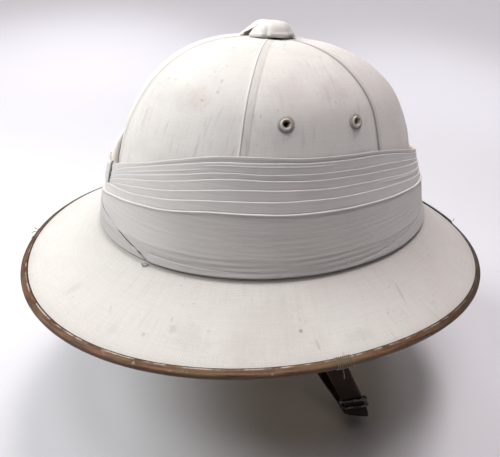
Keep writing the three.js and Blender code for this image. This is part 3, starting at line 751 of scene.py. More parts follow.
leather = Finish("worn_binding_leather", 0.5, shine=0.2)
inwards = leather.add("ShaderNodeSeparateXYZ", None, {"Vector": leather.flat}).outputs["Y"]
streaks = leather.clouds(leather.stretched(leather.flat, (60.0, 900.0, 1.0)), 1.0, 4.0, 0.6)
patches = leather.clouds(leather.place, 45.0, 4.0, 0.65)
reddened = leather.clouds(leather.place, 70.0, 3.0)
scuffs = leather.clouds(leather.place, 230.0, 3.0, 0.7)
worn_through = leather.clouds(leather.place, 110.0, 3.0, 0.6)
line_begins = leather.ranged(inwards, 0.9 * mm, 1.2 * mm)
line_ends = leather.ranged(inwards, 1.5 * mm, 2.1 * mm, 1.0, 0.0)
worn_line = leather.maths("MULTIPLY", line_begins, line_ends)
leather.paint(leather.ranged(streaks, 0.35, 0.7), (0.057, 0.027, 0.014), (0.168, 0.085, 0.043))
leather.lay(leather.ranged(patches, 0.48, 0.62), 0.6, (0.126, 0.092, 0.044))
leather.lay(leather.ranged(reddened, 0.5, 0.68), 0.7, (0.152, 0.066, 0.034))
leather.lay(leather.ranged(scuffs, 0.62, 0.72), 0.4, (0.46, 0.37, 0.29))
leather.lay(worn_line, leather.ranged(worn_through, 0.44, 0.62, 0.0, 0.65), (0.56, 0.49, 0.43))
# A painted shadow line along the binding's inner lip, in the gap between leather and cloth.
leather.lay(leather.ranged(inwards, 0.7 * mm, 1.1 * mm, 1.0, 0.0), 0.95, (0.022, 0.015, 0.011))
# Painted shade over the lower half of the roll and the underside.
leather.lay(leather.ranged(inwards, 4.4 * mm, 6.0 * mm), 0.85, (0.05, 0.027, 0.018))
leather.lay(leather.told("dark"), 1.0, (0.040, 0.028, 0.021))
leather.feed(leather.shader["Roughness"], leather.ranged(patches, 0.35, 0.65, 0.33, 0.55))
leather.raised(leather.maths("MULTIPLY_ADD", streaks, 0.6, pebbled(leather, 1100.0, 0.25)), 0.25 * mm, 0.7)
fixed(binding, leather, "binding_leather", "brim_binding")

# A break near the middle of the left side is whipped with eight turns of waxed thread, whose end hangs down;
# a few ends of the sewing thread stray at the front and at the lapped join behind.
WHIPPING = {"turns": 8, "first": 84.4, "apart": 0.45, "thread": 0.3, "lift": 0.22}
STRAY_THREAD = 0.24
STRAYS = [
    # degrees round the brim, then the radius and height of each point
    (85.6, (148.2, -22.5), (148.9, -24.6), (149.0, -27.2), (148.4, -29.4)),
    (345.5, (162.2, -32.8), (164.2, -32.0), (165.8, -32.6)),
    (346.6, (162.0, -33.4), (163.8, -33.8), (165.2, -35.4)),
    (344.6, (162.2, -32.2), (163.6, -31.0), (164.4, -29.8)),
    (171.2, (179.4, -31.0), (180.6, -30.4), (181.2, -29.0)),
]


def smooth_path(points, pieces):
    """An even curve through points, with its slopes worked out from the distances between them."""
    points = run_on(np.array(points, float))
    t = np.linspace(0, 1, 40, endpoint=False)[:, None]
    found = []
    for p0, p1, p2, p3 in zip(points, points[1:], points[2:], points[3:]):
        d0, d1, d2 = (math.sqrt(np.linalg.norm(b - a)) for a, b in ((p0, p1), (p1, p2), (p2, p3)))
        leave = ((p1 - p0) / d0 - (p2 - p0) / (d0 + d1) + (p2 - p1) / d1) * d1
        arrive = ((p2 - p1) / d1 - (p3 - p1) / (d1 + d2) + (p3 - p2) / d2) * d1
        found.append(curved(t, p1, p2, leave, arrive))
    found = np.vstack(found + [points[-2:-1]])
    length = way_along(found)
    even = np.linspace(0.0, length[-1], pieces + 1)
    return np.stack([np.interp(even, length, found[:, k]) for k in range(3)], axis=-1), length[-1]


def unit(vectors):
    return vectors / np.linalg.norm(vectors, axis=1)[:, None]


def swept(name, path, across, off, section, flat_along, flat_round):
    """A section drawn along a path in mm, closed at both ends; across and off are its two directions."""
    rows = path + section[:, 0, None, None] * across + section[:, 1, None, None] * off
    ends = np.broadcast_to(path[[0, -1]], (len(section), 2, 3))
    rows = np.concatenate([ends[:, :1], rows, ends[:, 1:]], axis=1)
    return lay_grid(name, rows * mm, flat_grid(flat_along, flat_round) * mm)


def tube(name, path, radius, sides):
    """A round wire or thread along points in mm."""
    path, length = smooth_path(path, max(8, 7 * len(path)))
    forward = unit(np.gradient(path, axis=0))
    across = unit(np.cross(forward, np.array([0.31, 0.83, 0.46])))
    spin = np.linspace(0.0, 2 * math.pi, sides + 1)
    section = radius * np.stack([np.cos(spin), np.sin(spin)], axis=-1)
    flat_along = np.linspace(0.0, length, len(path) + 2)
    off = np.cross(forward, across)
    piece, _, _ = swept(name, path, across, off, section, flat_along, spin * radius)
    close_up(piece)
    return piece


def joined_up(name, pieces):
    take(pieces[0])
    for piece in pieces:
        piece.select_set(True)
    bpy.ops.object.join()
    pieces[0].name = pieces[0].data.name = name
    return pieces[0]


def round_binding(degrees, lift):
    """The way round the binding's section but for its inner edges, in mm, a little outside the leather."""
    azimuth = np.radians(degrees)
    ring = np.array([[np.interp(azimuth, fine_round, part) for part in row] for row in binding_rows])
    ring = ring + lift * unit(ring - ring.mean(axis=0))
    return [stand(azimuth + math.radians(0.012 * k), *ring[k]) / mm for k in range(1, 25)]


stitches = []
for turn in range(WHIPPING["turns"]):
    path = round_binding(WHIPPING["first"] + WHIPPING["apart"] * turn, WHIPPING["lift"])
    stitches.append(tube(f"turn_{turn}", path, WHIPPING["thread"], 6))
for degrees, *points in STRAYS:
    path = [stand(math.radians(degrees + 0.25 * k), *point) / mm for k, point in enumerate(points)]
    stitches.append(tube("stray", path, STRAY_THREAD, 6))
stitches = joined_up("binding_stitches", stitches)
waxed = Finish("waxed_thread", 0.7)
waxed.paint(waxed.clouds(waxed.place, 600.0), (0.17, 0.128, 0.078), (0.115, 0.084, 0.052))
fixed(stitches, waxed, "binding_leather", "brim_binding")

# The pugaree is one long strip of thin white cotton wound round the crown: a plain wide band below,
# then narrow folds, each tucked behind the rounded upper edge of the one under it.
PUGAREE_TOP = {"front": 39.0, "side": 63.2, "back": 40.0}
PUGAREE_FOOT = 1.5
UNDER_PUGAREE = 1.45
PINCH = {"depth": 6.0, "width": 6.5}
FOLDS = [0.54, 0.642, 0.73, 0.812, 0.868, 0.957, 1.0]  # each upper edge as a share of the height
GATHERED = [0.0, 0.05, -0.01, -0.05, -0.07, -0.085, 0.0]  # how far each is drawn up or down at the front
LAST_FOLD = len(FOLDS) - 2
LAP_LINE = [
    # share of the height, degrees from the front where the band's end crosses under itself
    (0.0, 33.0), (0.06, 28.5), (0.09, 25.0), (0.14, 19.4), (0.20, 13.6), (0.27, 6.0), (0.48, -2.0),
    (0.8, -4.5),
]
LAP_SLANT = [
    # share of the height, distance square to that line for a distance along the band
    (0.0, 0.23), (0.2, 0.23), (0.26, 0.24), (0.36, 0.28), (0.48, 0.32), (0.6, 0.4),
]
LAP_GAP_SHADE = [
    # share of the height, how far the lap stands open, which sets how dark its painted shade is
    (0.0, 0.5), (0.03, 0.3), (0.05, 1.0), (0.07, 0.0), (0.085, 1.0), (0.15, 1.0), (0.165, 0.0), (0.22, 0.1),
    (0.24, 1.0), (0.40, 1.0), (0.46, 0.0),
]
MM_PER_DEGREE = 1.9
HEM_HEIGHT = [
    # degrees from the front, share of the height
    (-180, 0.13), (-60, 0.06), (0, 0.09), (33, 0.08), (60, 0.055), (80, 0.035), (100, 0.03), (150, 0.16),
    (180, 0.13),
]
HEM_DEPTH = [
    # degrees from the front, how deep the hem's crease is
    (-180, 0.5), (-60, 0.4), (-20, 0.0), (32, 0.0), (34, 1.0), (50, 0.8), (72, 0.25), (95, 0.2),
    (115, 0.6), (180, 0.5),
]
PAINTED_LIGHT_AT_ENDS = [
    # degrees from the front, how much paler the cloth is painted: painted light towards the front and the
    # back
    (-30, 0.7), (18, 0.7), (45, 0.084), (75, 0.07), (100, 0.28), (125, 0.7), (180, 0.7),
]
KNOT = {"middle": (60.4, -94.0, -4.9), "size": (0.7, 1.5, 1.3), "cord": 0.42}
FINE_PLEATS = [
    # fold, place across its visible strip, and the degrees round the crown where the small pleat shows
    (4, 0.34, 12, 52), (4, 0.64, 40, 100), (1, 0.6, 110, 150), (0, 0.45, -120, -20), (3, 0.5, -150, -60),
]


def from_front(azimuth):
    """Degrees from the front, from -180 at the back by the right to 180 by the left."""
    return np.degrees((azimuth + math.pi) % (2 * math.pi) - math.pi)


def smooth_step(value, low, high):
    t = np.clip((value - low) / (high - low), 0.0, 1.0)
    return t * t * (3 - 2 * t)


def rounded_off(distance, radius):
    """How far a rounded edge stands out, from 0 at the edge to 1 at its radius."""
    return np.sqrt(np.clip(1.0 - np.clip((radius - distance) / radius, 0, 1) ** 2, 0, 1))


def level_at(azimuth, height):
    """The crown's level at a height in mm, found by halving."""
    low, high = np.zeros_like(azimuth), np.ones_like(azimuth)
    for _ in range(18):
        middle = (low + high) / 2
        below = crown(azimuth, middle)[1] < height
        low, high = np.where(below, middle, low), np.where(below, high, middle)
    return low


def wrap_span(azimuth):
    """Heights of the pugaree's foot and top at an azimuth, in mm; the top is pinched down at the front."""
    foot = crown(azimuth, 0.0)[1] + PUGAREE_FOOT
    pinch = PINCH["depth"] * bell(from_front(azimuth), PINCH["width"])
    return foot, round_value(azimuth, PUGAREE_TOP, 6.5, 4.2) - pinch


def swell(azimuth, share):
    """Extra thickness in mm where the winding is gathered at the front and the back."""
    degrees = np.abs(from_front(azimuth))
    front = 5.2 * bell(degrees, 18) * (0.1 + 0.9 * smooth_step(share, -0.05, 0.4))
    back = 5.0 * bell(180 - degrees, 45) * (0.1 + 0.9 * smooth_step(share, 0.1, 0.6))
    return front + back


wrap_round = np.radians(np.concatenate([
    np.linspace(0, 40, 120), np.linspace(40, 350, 330)[1:], np.linspace(350, 360, 24)[1:],
]))
wrap_foot, wrap_top = wrap_span(wrap_round)
rise = wrap_top - wrap_foot
wrap_degrees = from_front(wrap_round)
unmarked = np.zeros_like(wrap_round)


def on_wrap(share, distance, azimuth=wrap_round):
    """Points at a share of the pugaree's height and a distance in mm off the crown's cloth."""
    foot, top = wrap_span(azimuth)
    level = level_at(azimuth, foot + (top - foot) * share)
    return stand(azimuth, *on_crown(azimuth, level, UNDER_PUGAREE + distance))


def ridge(number):
    """A fold's upper edge as a share of the height: it sags a little ahead of the left side, and is drawn
    together with the others at the front, with small wanderings of its own."""
    sag = 0.028 * bell(wrap_degrees - 36, 13) * (1.0 if number < LAST_FOLD else 0.6)
    gather = GATHERED[number] * bell(wrap_degrees, 11)
    a, b = 1.7 * number, 0.9 * number + 0.4
    stray = 0.004 * np.sin(3 * wrap_round + a) + 0.002 * np.sin(8 * wrap_round + 2 * b)
    stray = stray + 0.001 * np.sin(17 * wrap_round + b)
    return FOLDS[number] - sag + gather + stray * (1.0 if number <= LAST_FOLD else 0.5)


def lap_step(share):
    """Where the wide band's end crosses under itself at the front: 1 on the upper layer and 0 on the lower,
    and the distance from the line in mm."""
    past_line = wrap_degrees - read_off(share, LAP_LINE)
    upper = np.where(
        wrap_degrees < -25, smooth_step(-wrap_degrees, 30, 50), smooth_step(past_line, -0.35, 0.35),
    )
    return upper, np.clip(past_line * MM_PER_DEGREE * read_off(share, LAP_SLANT), -20, 20)


def muslin(name, fresh, worn, pale, lapped=False):
    """Thin cotton: a fine weave with long pulled threads along the winding, with painted highlights on each
    folded edge and painted shade in its creases; where a layer laps over another, the gap under its edge gets
    painted shade."""
    cotton = Finish(name, 0.86, 0.1)
    cloth = weave.placed(cotton, Cloth=cotton.flat, Threads=2300.0)
    dirt = soil.placed(cotton, Place=cotton.place)
    pulled = cotton.clouds(cotton.stretched(cotton.place, (25.0, 25.0, 1500.0)), 1.0, 3.0, 0.6)
    cotton.paint(cotton.ranged(pulled, 0.35, 0.68), fresh, worn)
    cotton.lay(dirt["Patch"], 0.16, (0.50, 0.475, 0.44))
    # Painted highlights on folded edges, and painted light towards the front and the back.
    cotton.lay(cotton.told("wear_and_painted_highlight"), 0.8, pale)
    # Painted shade in creases, under folded edges and along the loop's sides, as each piece marks them.
    cotton.lay(cotton.told("seam"), 0.8, (0.22, 0.20, 0.18))
    # Painted shade in the gap under the lapped edge of the band.
    if lapped:
        beside = cotton.maths("ABSOLUTE", cotton.told("beside_lap"))
        cotton.lay(cotton.ranged(beside, 0.3, 0.6, 1.0, 0.0), cotton.told("lap_gap_painted_shade"), (0.055, 0.05, 0.045))
    cotton.raised(cotton.maths("MULTIPLY_ADD", pulled, 1.1, cloth["Height"]), 0.14 * mm)
    return cotton


def wound(name, rows, marks, radius, width):
    """One turn of cloth round the crown from its rows; marks holds the values for each row, by name."""
    flat = flat_grid(wrap_round * radius * mm, np.linspace(0.0, width * mm, len(rows)))
    piece, row, column = lay_grid(name, np.stack(rows), flat)
    for mark_name, values in marks.items():
        tell(piece, mark_name, np.stack(values)[row, column])
    close_up(piece)
    return piece


# Painted light: the pugaree is painted paler towards the front and the back, where the lamps fall on it.
painted_light_at_ends = read_off(wrap_degrees, PAINTED_LIGHT_AT_ENDS)
hem = read_off(wrap_degrees, HEM_HEIGHT)
hem_depth = read_off(wrap_degrees, HEM_DEPTH)
band_edge = ridge(0)
rows, marks = [], {"seam": [], "wear_and_painted_highlight": [], "beside_lap": [], "lap_gap_painted_shade": []}
for v in np.concatenate([np.linspace(0, 0.3, 30), np.linspace(0.32, 0.93, 22), np.linspace(0.94, 1.0, 9)]):
    share = band_edge * v
    upper, beside = lap_step(share)
    crease = hem_depth * bell((share - hem) * rise, 0.5)
    below = hem_depth * np.clip((hem - share) * rise / 0.8, 0, 1)
    to_edge = (1.0 - v) * band_edge * rise
    wrinkle = 0.08 * np.sin(2.1 * share * rise + 3 * np.sin(2 * wrap_round)) * np.sin(4 * wrap_round + 5 * v)
    out = 0.8 + 0.45 * upper + 0.25 * below - 0.2 * crease - 0.3 * bell(beside, 0.5)
    out = out + 0.55 * bell(to_edge, 1.5) + wrinkle
    out = np.maximum(out + unevenness(wrap_round, share * rise, 0.16), 0.3)
    out = out * (0.35 + 0.65 * rounded_off(to_edge, 0.8)) * (0.45 + 0.55 * rounded_off(share * rise, 0.5))
    rows.append(on_wrap(share, out + swell(wrap_round, share)))
    # Painted shade in the hem's crease; a painted highlight on the band's folded upper edge, a paler strip
    # below the hem, and painted light towards the front and the back.
    marks["seam"].append(0.4 * crease)
    marks["wear_and_painted_highlight"].append(0.75 * bell(to_edge, 0.5) + 0.2 * below + painted_light_at_ends)
    marks["beside_lap"].append(beside)
    marks["lap_gap_painted_shade"].append(read_off(share, LAP_GAP_SHADE))
rows += [on_wrap(band_edge * 0.985, 0.1), on_wrap(band_edge * 0.4, 0.05), on_wrap(0.004, 0.05), rows[0]]
for mark_name, hidden in (("seam", 1.0), ("wear_and_painted_highlight", 0.0), ("beside_lap", 20.0), ("lap_gap_painted_shade", 0.0)):
    marks[mark_name] += [unmarked + hidden] * 3 + [marks[mark_name][0]]
band = wound("pugaree_wide_band", rows, marks, 105, 45)
band_cotton = muslin("pugaree_muslin", (0.62, 0.597, 0.573), (0.545, 0.522, 0.50), (0.86, 0.84, 0.81), True)
fixed(band, band_cotton, "pugaree_cloth", "pugaree_band")
knot_turn = np.linspace(0.3, 6.4, 12)
knot_path = np.stack([np.cos(knot_turn), np.cos(knot_turn), np.sin(knot_turn)], axis=-1) * KNOT["size"]
knot = tube("pugaree_knot", knot_path + KNOT["middle"], KNOT["cord"], 6)
fixed(knot, band_cotton, "pugaree_cloth", "pugaree_band")

fold_cotton = muslin("pugaree_fold_muslin", (0.83, 0.805, 0.775), (0.75, 0.726, 0.697), (0.96, 0.935, 0.905))
edge_steps = [0.92, 0.94, 0.955, 0.968, 0.978, 0.986, 0.993, 0.998, 1.0]
for number in range(len(FOLDS) - 1):
    low, high = ridge(number), ridge(number + 1)
    tuck = low - 4.5 / rise
    rows, marks = [], {"seam": [], "wear_and_painted_highlight": []}
    for v in np.concatenate([np.linspace(0, 0.42, 5), np.linspace(0.45, 0.9, 20), edge_steps]):
        share = tuck + (high - tuck) * v
        to_edge = (high - share) * rise
        above_low = (share - low) * rise
        visible = (share - low) / (high - low)
        stepping = np.clip(visible, 0, 1)
        pleat = unmarked
        for fold, at, start, end in FINE_PLEATS:
            if fold == number:
                begun = smooth_step(wrap_degrees, start, start + 12)
                not_ended = smooth_step(-wrap_degrees, -end, 12 - end)
                pleat = pleat + bell((visible - at) * (high - low) * rise, 0.32) * begun * not_ended
        out = 0.3 + (0.5 + 0.06 * np.sin(5 * wrap_round + number)) * stepping + 0.3 * pleat
        out = out + (0.25 if number < LAST_FOLD else 0.1) * stepping**6
        out = out * (0.35 + 0.65 * rounded_off(to_edge, 0.75))
        out = np.maximum(out + unevenness(wrap_round, share * rise + 9 * number, 0.05), 0.18)
        rows.append(on_wrap(share, out + swell(wrap_round, share)))
        # Painted shade just above each lower fold's rounded edge and under the top fold's rolled edge;
        # painted highlights on each folded edge and small pleat, and painted light towards the front and the
        # back.
        shade = 0.3 * bell(np.maximum(above_low, 0), 0.45)
        if number == LAST_FOLD:
            shade = shade + 0.4 * bell(to_edge - 1.9, 0.4) * smooth_step(wrap_degrees, 12, 40)
        marks["seam"].append(shade)
        marks["wear_and_painted_highlight"].append(bell(to_edge, 0.65) + 0.6 * pleat + painted_light_at_ends)
    rows += [on_wrap(high - 0.6 / rise, 0.1), on_wrap(tuck, 0.02), rows[0]]
    for mark_name, hidden in (("seam", 1.0), ("wear_and_painted_highlight", 0.0)):
        marks[mark_name] += [unmarked + hidden] * 2 + [marks[mark_name][0]]
    fold = wound(f"pugaree_pleat_{number + 1}", rows, marks, 100, 11)
    fixed(fold, fold_cotton, "pugaree_cloth", f"pugaree_fold_{number + 1}")

# A short loop of the same cotton stands upright at the front and gathers the folds under it. Its two
# ends are tucked in above and below, and its sides are sewn down.
LOOP = {"half_turn": 4.2, "foot": 0.70, "height": 0.37, "cloth": 1.2, "tuck": 0.12}
loop_turn = np.radians(np.linspace(-LOOP["half_turn"], LOOP["half_turn"], 25))
loop_up = np.linspace(0.0, 1.0, 31)
loop_sideways = np.abs(loop_turn) / loop_turn[-1]
loop_rows = []
for up in loop_up:
    share = np.full_like(loop_turn, LOOP["foot"] + LOOP["height"] * up)
    tucked = np.clip(np.minimum(up, 1.0 - up) / LOOP["tuck"], 0, 1) ** 0.5
    bulge = 1.0 - loop_sideways**4
    distance = 0.9 + 0.6 * tucked + 0.5 * bulge * tucked + 0.1 * np.sin(9 * up + 60 * loop_turn)
    loop_rows.append(on_wrap(share, distance + swell(loop_turn, share), loop_turn))
loop_flat = flat_grid(loop_turn * 105 * mm, loop_up * 22 * mm)
loop, _, column = lay_grid("pugaree_gathering_loop", np.stack(loop_rows), loop_flat)
# Painted shade along the loop's sewn sides, and a painted highlight down its middle.
tell(loop, "seam", 0.95 * bell(1 - loop_sideways[column], 0.07))
tell(loop, "wear_and_painted_highlight", 0.5 * (1 - loop_sideways[column]))
bpy.ops.object.shade_smooth()
thicken(loop, LOOP["cloth"])
fixed(loop, fold_cotton, "pugaree_cloth", "pugaree_loop")

# The vent cap is a stiff little cap of six cloth-covered lobes round a short stem, which stands in the
# vent hole; the lobe at the front has come away and slopes outwards, with a gap beside it painted dark brown
# as shade.
CAP = {"radius": 15.4, "top": 128.9, "rim": 121.4, "rim_radius": 15.3, "forward": 2.0}
CAP_UNDERSIDE = [
    # radius, height, share of the top's bend
    (14.2, 119.9, 0.95), (12.4, 120.6, 0.85), (10.0, 121.0, 0.7), (7.2, 121.0, 0.5), (6.5, 120.0, 0.0),
    (6.5, 111.0, 0.0), (5.0, 110.2, 0.0), (0.0, 110.2, 0.0),
]
FLAP_DROP = [
    # share of the way out from the middle, how far the loose lobe has dropped
    (0.35, 0.0), (0.45, 0.3), (0.6, 2.0), (0.7, 2.9), (0.8, 3.6), (0.9, 3.2), (1.0, 2.5),
]
SUNK_DROP = [
    # share of the way out from the middle, how far the front of the cap has sunk
    (0.15, 0.0), (0.35, 1.1), (0.62, 2.4), (0.8, 2.0), (1.0, 1.0),
]
cap_round = np.linspace(0.0, 2 * math.pi, 217)
cap_degrees = from_front(cap_round)
notch = bell(np.abs((cap_round + SPAN / 2) % SPAN - SPAN / 2), 0.11)
flap = smooth_step(cap_degrees, -54, -28) * smooth_step(-cap_degrees, 2.5, 5.5)
torn = smooth_step(cap_degrees, -5, -1) * smooth_step(-cap_degrees, -17, -11)
sunk = bell(cap_degrees - 2, 38)
pressed = smooth_step(cap_degrees, 8, 20) * smooth_step(-cap_degrees, -130, -110)
pressed = pressed * (1.0 - 0.5 * smooth_step(cap_degrees, 52, 66))
# Each row also gets painted shade: in the notches between the lobes, in the gap beside the loose lobe, and
# all under the rim.
cap_rows, cap_painted_shade = [], []
for t in np.linspace(0.0, 1.0, 26):
    radius = CAP["radius"] * t * (1 - 0.05 * notch * t**2)
    height = CAP["top"] - 1.1 * t**2 - 5.0 * t**6 - 0.3 * notch * smooth_step(t, 0.4, 0.9)
    height = height + 0.3 * np.sin(2 * cap_round + 5 * t) * t
    height = height + 0.25 * np.sin(5 * cap_round + 2) * smooth_step(t, 0.2, 0.6)
    cap_rows.append((radius, height, t))
    cap_painted_shade.append(0.12 * notch * t + 1.2 * torn * smooth_step(t, 0.58, 0.7))
for angle in np.radians([60, 35, 10, -15, -40, -65, -88]):
    radius = (CAP["rim_radius"] + math.cos(angle)) * (1 - 0.06 * notch)
    height = CAP["rim"] - 0.3 * notch + 1.5 * math.sin(angle) + 0.2 * np.sin(2 * cap_round + 5)
    cap_rows.append((radius, height, 1.0))
    cap_painted_shade.append((0.0 if angle > 0 else 0.3) + 0.2 * notch + 1.2 * torn)
for radius, height, t in CAP_UNDERSIDE:
    cap_rows.append((radius, height, t))
    cap_painted_shade.append(np.ones_like(cap_round))
cap_points = []
for radius, height, t in cap_rows:
    bent = smooth_step(t, 0.5, 1.0)
    lowered = flap * read_off(t, FLAP_DROP) * (1.0 if np.mean(height) > 121.5 else 0.4)
    lowered = lowered + torn * (5.0 - 4.2 * t) * smooth_step(t, 0.58, 0.74)
    lowered = lowered + sunk * read_off(t, SUNK_DROP) + 1.1 * pressed * bent
    outwards = 3.6 * flap * smooth_step(t, 0.4, 1.0) - 3.0 * torn * smooth_step(t, 0.6, 0.9)
    outwards = outwards + 0.9 * pressed * bent
    pushed = stand(cap_round, radius + outwards, height - lowered)
    if np.mean(height) > 120.2:
        pushed[:, 1] -= CAP["forward"] * mm
    cap_points.append(pushed)
cap_points = np.stack(cap_points)[::-1]
cap_painted_shade = np.stack(cap_painted_shade)[::-1]
cap, row, column = lay_grid("vent_cap_lobes", cap_points, cap_points[..., :2].copy())
# The painted shade darkens the cap, and the rest of it is painted paler.
tell(cap, "seam", cap_painted_shade[row, column])
tell(cap, "wear_and_painted_highlight", 0.5 * (1 - cap_painted_shade[row, column]))
close_up(cap)
fixed(cap, crown_cloth, "crown_cloth", "vent_cap")

# Two turned brass eyelets in each side panel ventilate the crown. Each is a raised ring on a wide
# thin flange, pressed through cloth and pith; white paint covers it except where it has rubbed off.
EYELET_HEIGHT = 80.5
EYELET_DEGREES = (75, 108, -108, -75)
EYELET_HOLE = {"radius": 2.32, "depth": 10.4}
EYELET_PROFILE = np.array([
    # radius, height above the cloth
    (1.3, -4.6), (1.3, -0.5), (1.5, 0.2), (1.85, 0.85), (2.25, 1.35), (2.65, 1.55), (3.0, 1.4), (3.25, 1.0),
    (3.4, 0.55), (3.6, 0.42), (4.2, 0.4), (4.7, 0.24), (4.92, 0.02), (4.8, -0.2), (2.4, -0.3), (2.3, -4.6),
    (1.3, -4.6),
])


def turned(name, profile, foot, axis, columns):
    """A turned piece: (radius, height) rows in mm spun round an axis that starts at foot, in metres."""
    spin = np.linspace(0.0, 2 * math.pi, columns + 1)[:, None]
    axis = Vector(axis).normalized()
    side = axis.orthogonal().normalized()
    ring = np.cos(spin) * np.array(side) + np.sin(spin) * np.array(axis.cross(side))
    points = profile[:, 0, None, None] * ring + profile[:, 1, None, None] * np.array(axis)
    return lay_grid(name, np.array(foot) + points * mm, flat_grid(spin * 3, way_along(profile)) * mm)


def punched(wall, foot, axis):
    """Cuts a round hole through a wall."""
    bpy.ops.object.select_all(action="DESELECT")
    bpy.ops.mesh.primitive_cylinder_add(
        vertices=32, radius=EYELET_HOLE["radius"] * mm, depth=EYELET_HOLE["depth"] * mm,
        location=foot, rotation=axis.to_track_quat("Z", "Y").to_euler(),
    )
    punch = bpy.context.object
    hole = wall.modifiers.new("hole", "BOOLEAN")
    hole.object = punch
    hole.operation = "DIFFERENCE"
    hole.solver = "EXACT"
    take(wall)
    bpy.ops.object.modifier_apply(modifier=hole.name)
    bpy.data.objects.remove(punch)


painted = Finish("painted_brass", 0.42)
chips = painted.clouds(painted.place, 700.0, 3.0, 0.6)
bare = painted.ranged(painted.maths("MULTIPLY_ADD", chips, 0.55, painted.told("bare")), 0.55, 0.72)
brass = painted.mixed(chips, (0.40, 0.215, 0.11), (0.20, 0.115, 0.06))
painted.paint(painted.clouds(painted.place, 320.0), (0.58, 0.56, 0.52), (0.40, 0.385, 0.35))
# Dark where the eyelet is marked: painted shade, with some grime.
painted.lay(painted.told("grime_and_painted_shade"), 1.0, (0.06, 0.05, 0.04))
painted.lay(bare, 1.0, brass)
painted.feed(painted.shader["Metallic"], painted.maths("MULTIPLY", bare, 0.85))
painted.raised(chips, 0.08 * mm)

for number, degrees in enumerate(EYELET_DEGREES):
    azimuth = np.radians(np.array([degrees, degrees + 0.2, degrees]))
    height = np.array([EYELET_HEIGHT, EYELET_HEIGHT, EYELET_HEIGHT + 0.5])
    around = stand(azimuth, *on_crown(azimuth, level_at(azimuth, height), COVER + 0.05))
    foot = Vector(around[0])
    axis = (Vector(around[1]) - foot).cross(Vector(around[2]) - foot).normalized()
    for wall in (bpy.data.objects["gore_2" if degrees > 0 else "gore_5"], pith_body):
        punched(wall, foot, axis)
    eyelet, row, _ = turned(f"brass_eyelet_{number + 1}", EYELET_PROFILE, foot, axis, 48)
    radii, heights = EYELET_PROFILE[row].T
    ring = np.array([tuple(vertex.co - foot) for vertex in eyelet.data.vertices])
    upwards = (Vector((0.0, 0.0, 1.0)) - axis * axis.z).normalized()
    upper = np.clip(ring @ np.array(upwards) / mm / np.maximum(radii, 0.5), -1, 1)
    # Bare brass where the white paint has worn off the ring's upper side.
    wear_and_painted_highlight = bell(radii - 1.9, 0.75) * smooth_step(upper, -0.1, 0.6) * (heights > -1.5)
    tell(eyelet, "bare", 0.85 * wear_and_painted_highlight * (1.0 if number in (0, 3) else 0.8))
    # Painted shade inside the barrel below the cloth, in the groove between ring and flange, round the
    # flange's edge and on its lower side; grime adds to it.
    grime_and_painted_shade = np.clip((-heights - 0.4) / 0.8, 0, 1) + 0.55 * bell(radii - 3.55, 0.16)
    grime_and_painted_shade = grime_and_painted_shade + 0.75 * bell(radii - 4.92, 0.14)
    tell(eyelet, "grime_and_painted_shade", grime_and_painted_shade + 0.75 * bell(radii - 4.3, 0.45) * smooth_step(-upper, -0.2, 0.8))
    close_up(eyelet)
    fixed(eyelet, painted, "eyelet_metal", f"vent_eyelet_{number + 1}")

# The chin strap is one length of dark bridle leather, fixed inside the crown at both sides, hanging in a
# slack loop below the brim. Its edges are rounded and its flesh side is rough.
STRAP = {"width": 15.0, "thickness": 2.2, "corner": 0.8, "seat_depth": 9.96, "twist": 0.42}
STRAP_SEAT_HEIGHTS = np.array([18.0, 12.0, 6.0, 0.0])
STRAP_RUN = [
    # x, y, z in mm, from the left seat down and across to the right one
    (91, 1, -14), (93, 7, -40), (95, 18, -68), (96, 31, -95), (96, 46, -123), (94, 55, -142), (86, 58, -149),
    (76, 55, -144), (58, 47, -133), (28, 35, -114), (-6, 24, -91), (-44, 13, -62), (-75, 5, -34),
    (-89, 1, -14),
]


def rounded(width, height, corner, steps):
    """The outline of a rectangle with round corners, and the way outwards at each of its points."""
    points, outwards = [], []
    for x, y, first in ((1, 1, 0), (-1, 1, 90), (-1, -1, 180), (1, -1, 270)):
        for angle in np.radians(np.linspace(first, first + 90, steps)):
            way = np.array([math.cos(angle), math.sin(angle)])
            points.append(np.array([x * (width / 2 - corner), y * (height / 2 - corner)]) + corner * way)
            outwards.append(way)
    return np.array(points + points[:1]), np.array(outwards + outwards[:1])


left_side = np.full(len(STRAP_SEAT_HEIGHTS), math.pi / 2)
seat = on_crown(left_side, level_at(left_side, STRAP_SEAT_HEIGHTS), -STRAP["seat_depth"])
seat = stand(left_side, *seat) / mm
strap_line, strap_length = smooth_path(np.vstack([seat, STRAP_RUN, (seat * (-1, 1, 1))[::-1]]), 320)
strap_along = unit(np.gradient(strap_line, axis=0))
hanging = smooth_step(-strap_line[:, 2], 60, 115) * smooth_step(strap_line[:, 0], 20, 60)
strap_across = np.array([0.0, 1.0, 0.0]) + STRAP["twist"] * hanging[:, None] * np.array([1.0, 0.0, 0.0])
strap_across -= strap_along * np.sum(strap_across * strap_along, axis=1)[:, None]
strap_across = unit(strap_across)
strap_off = np.cross(strap_along, strap_across)
section, _ = rounded(STRAP["width"], STRAP["thickness"], STRAP["corner"], 4)
flat_along = np.concatenate([[0.0], np.linspace(0.0, strap_length, len(strap_line)), [strap_length]])
strap, row, _ = swept(
    "leather_chin_strap", strap_line, strap_across, strap_off, section, flat_along, way_along(section),
)
tell(strap, "edge", np.clip((np.abs(section[row, 0]) - 6.6) / 0.7, 0, 1))
close_up(strap)

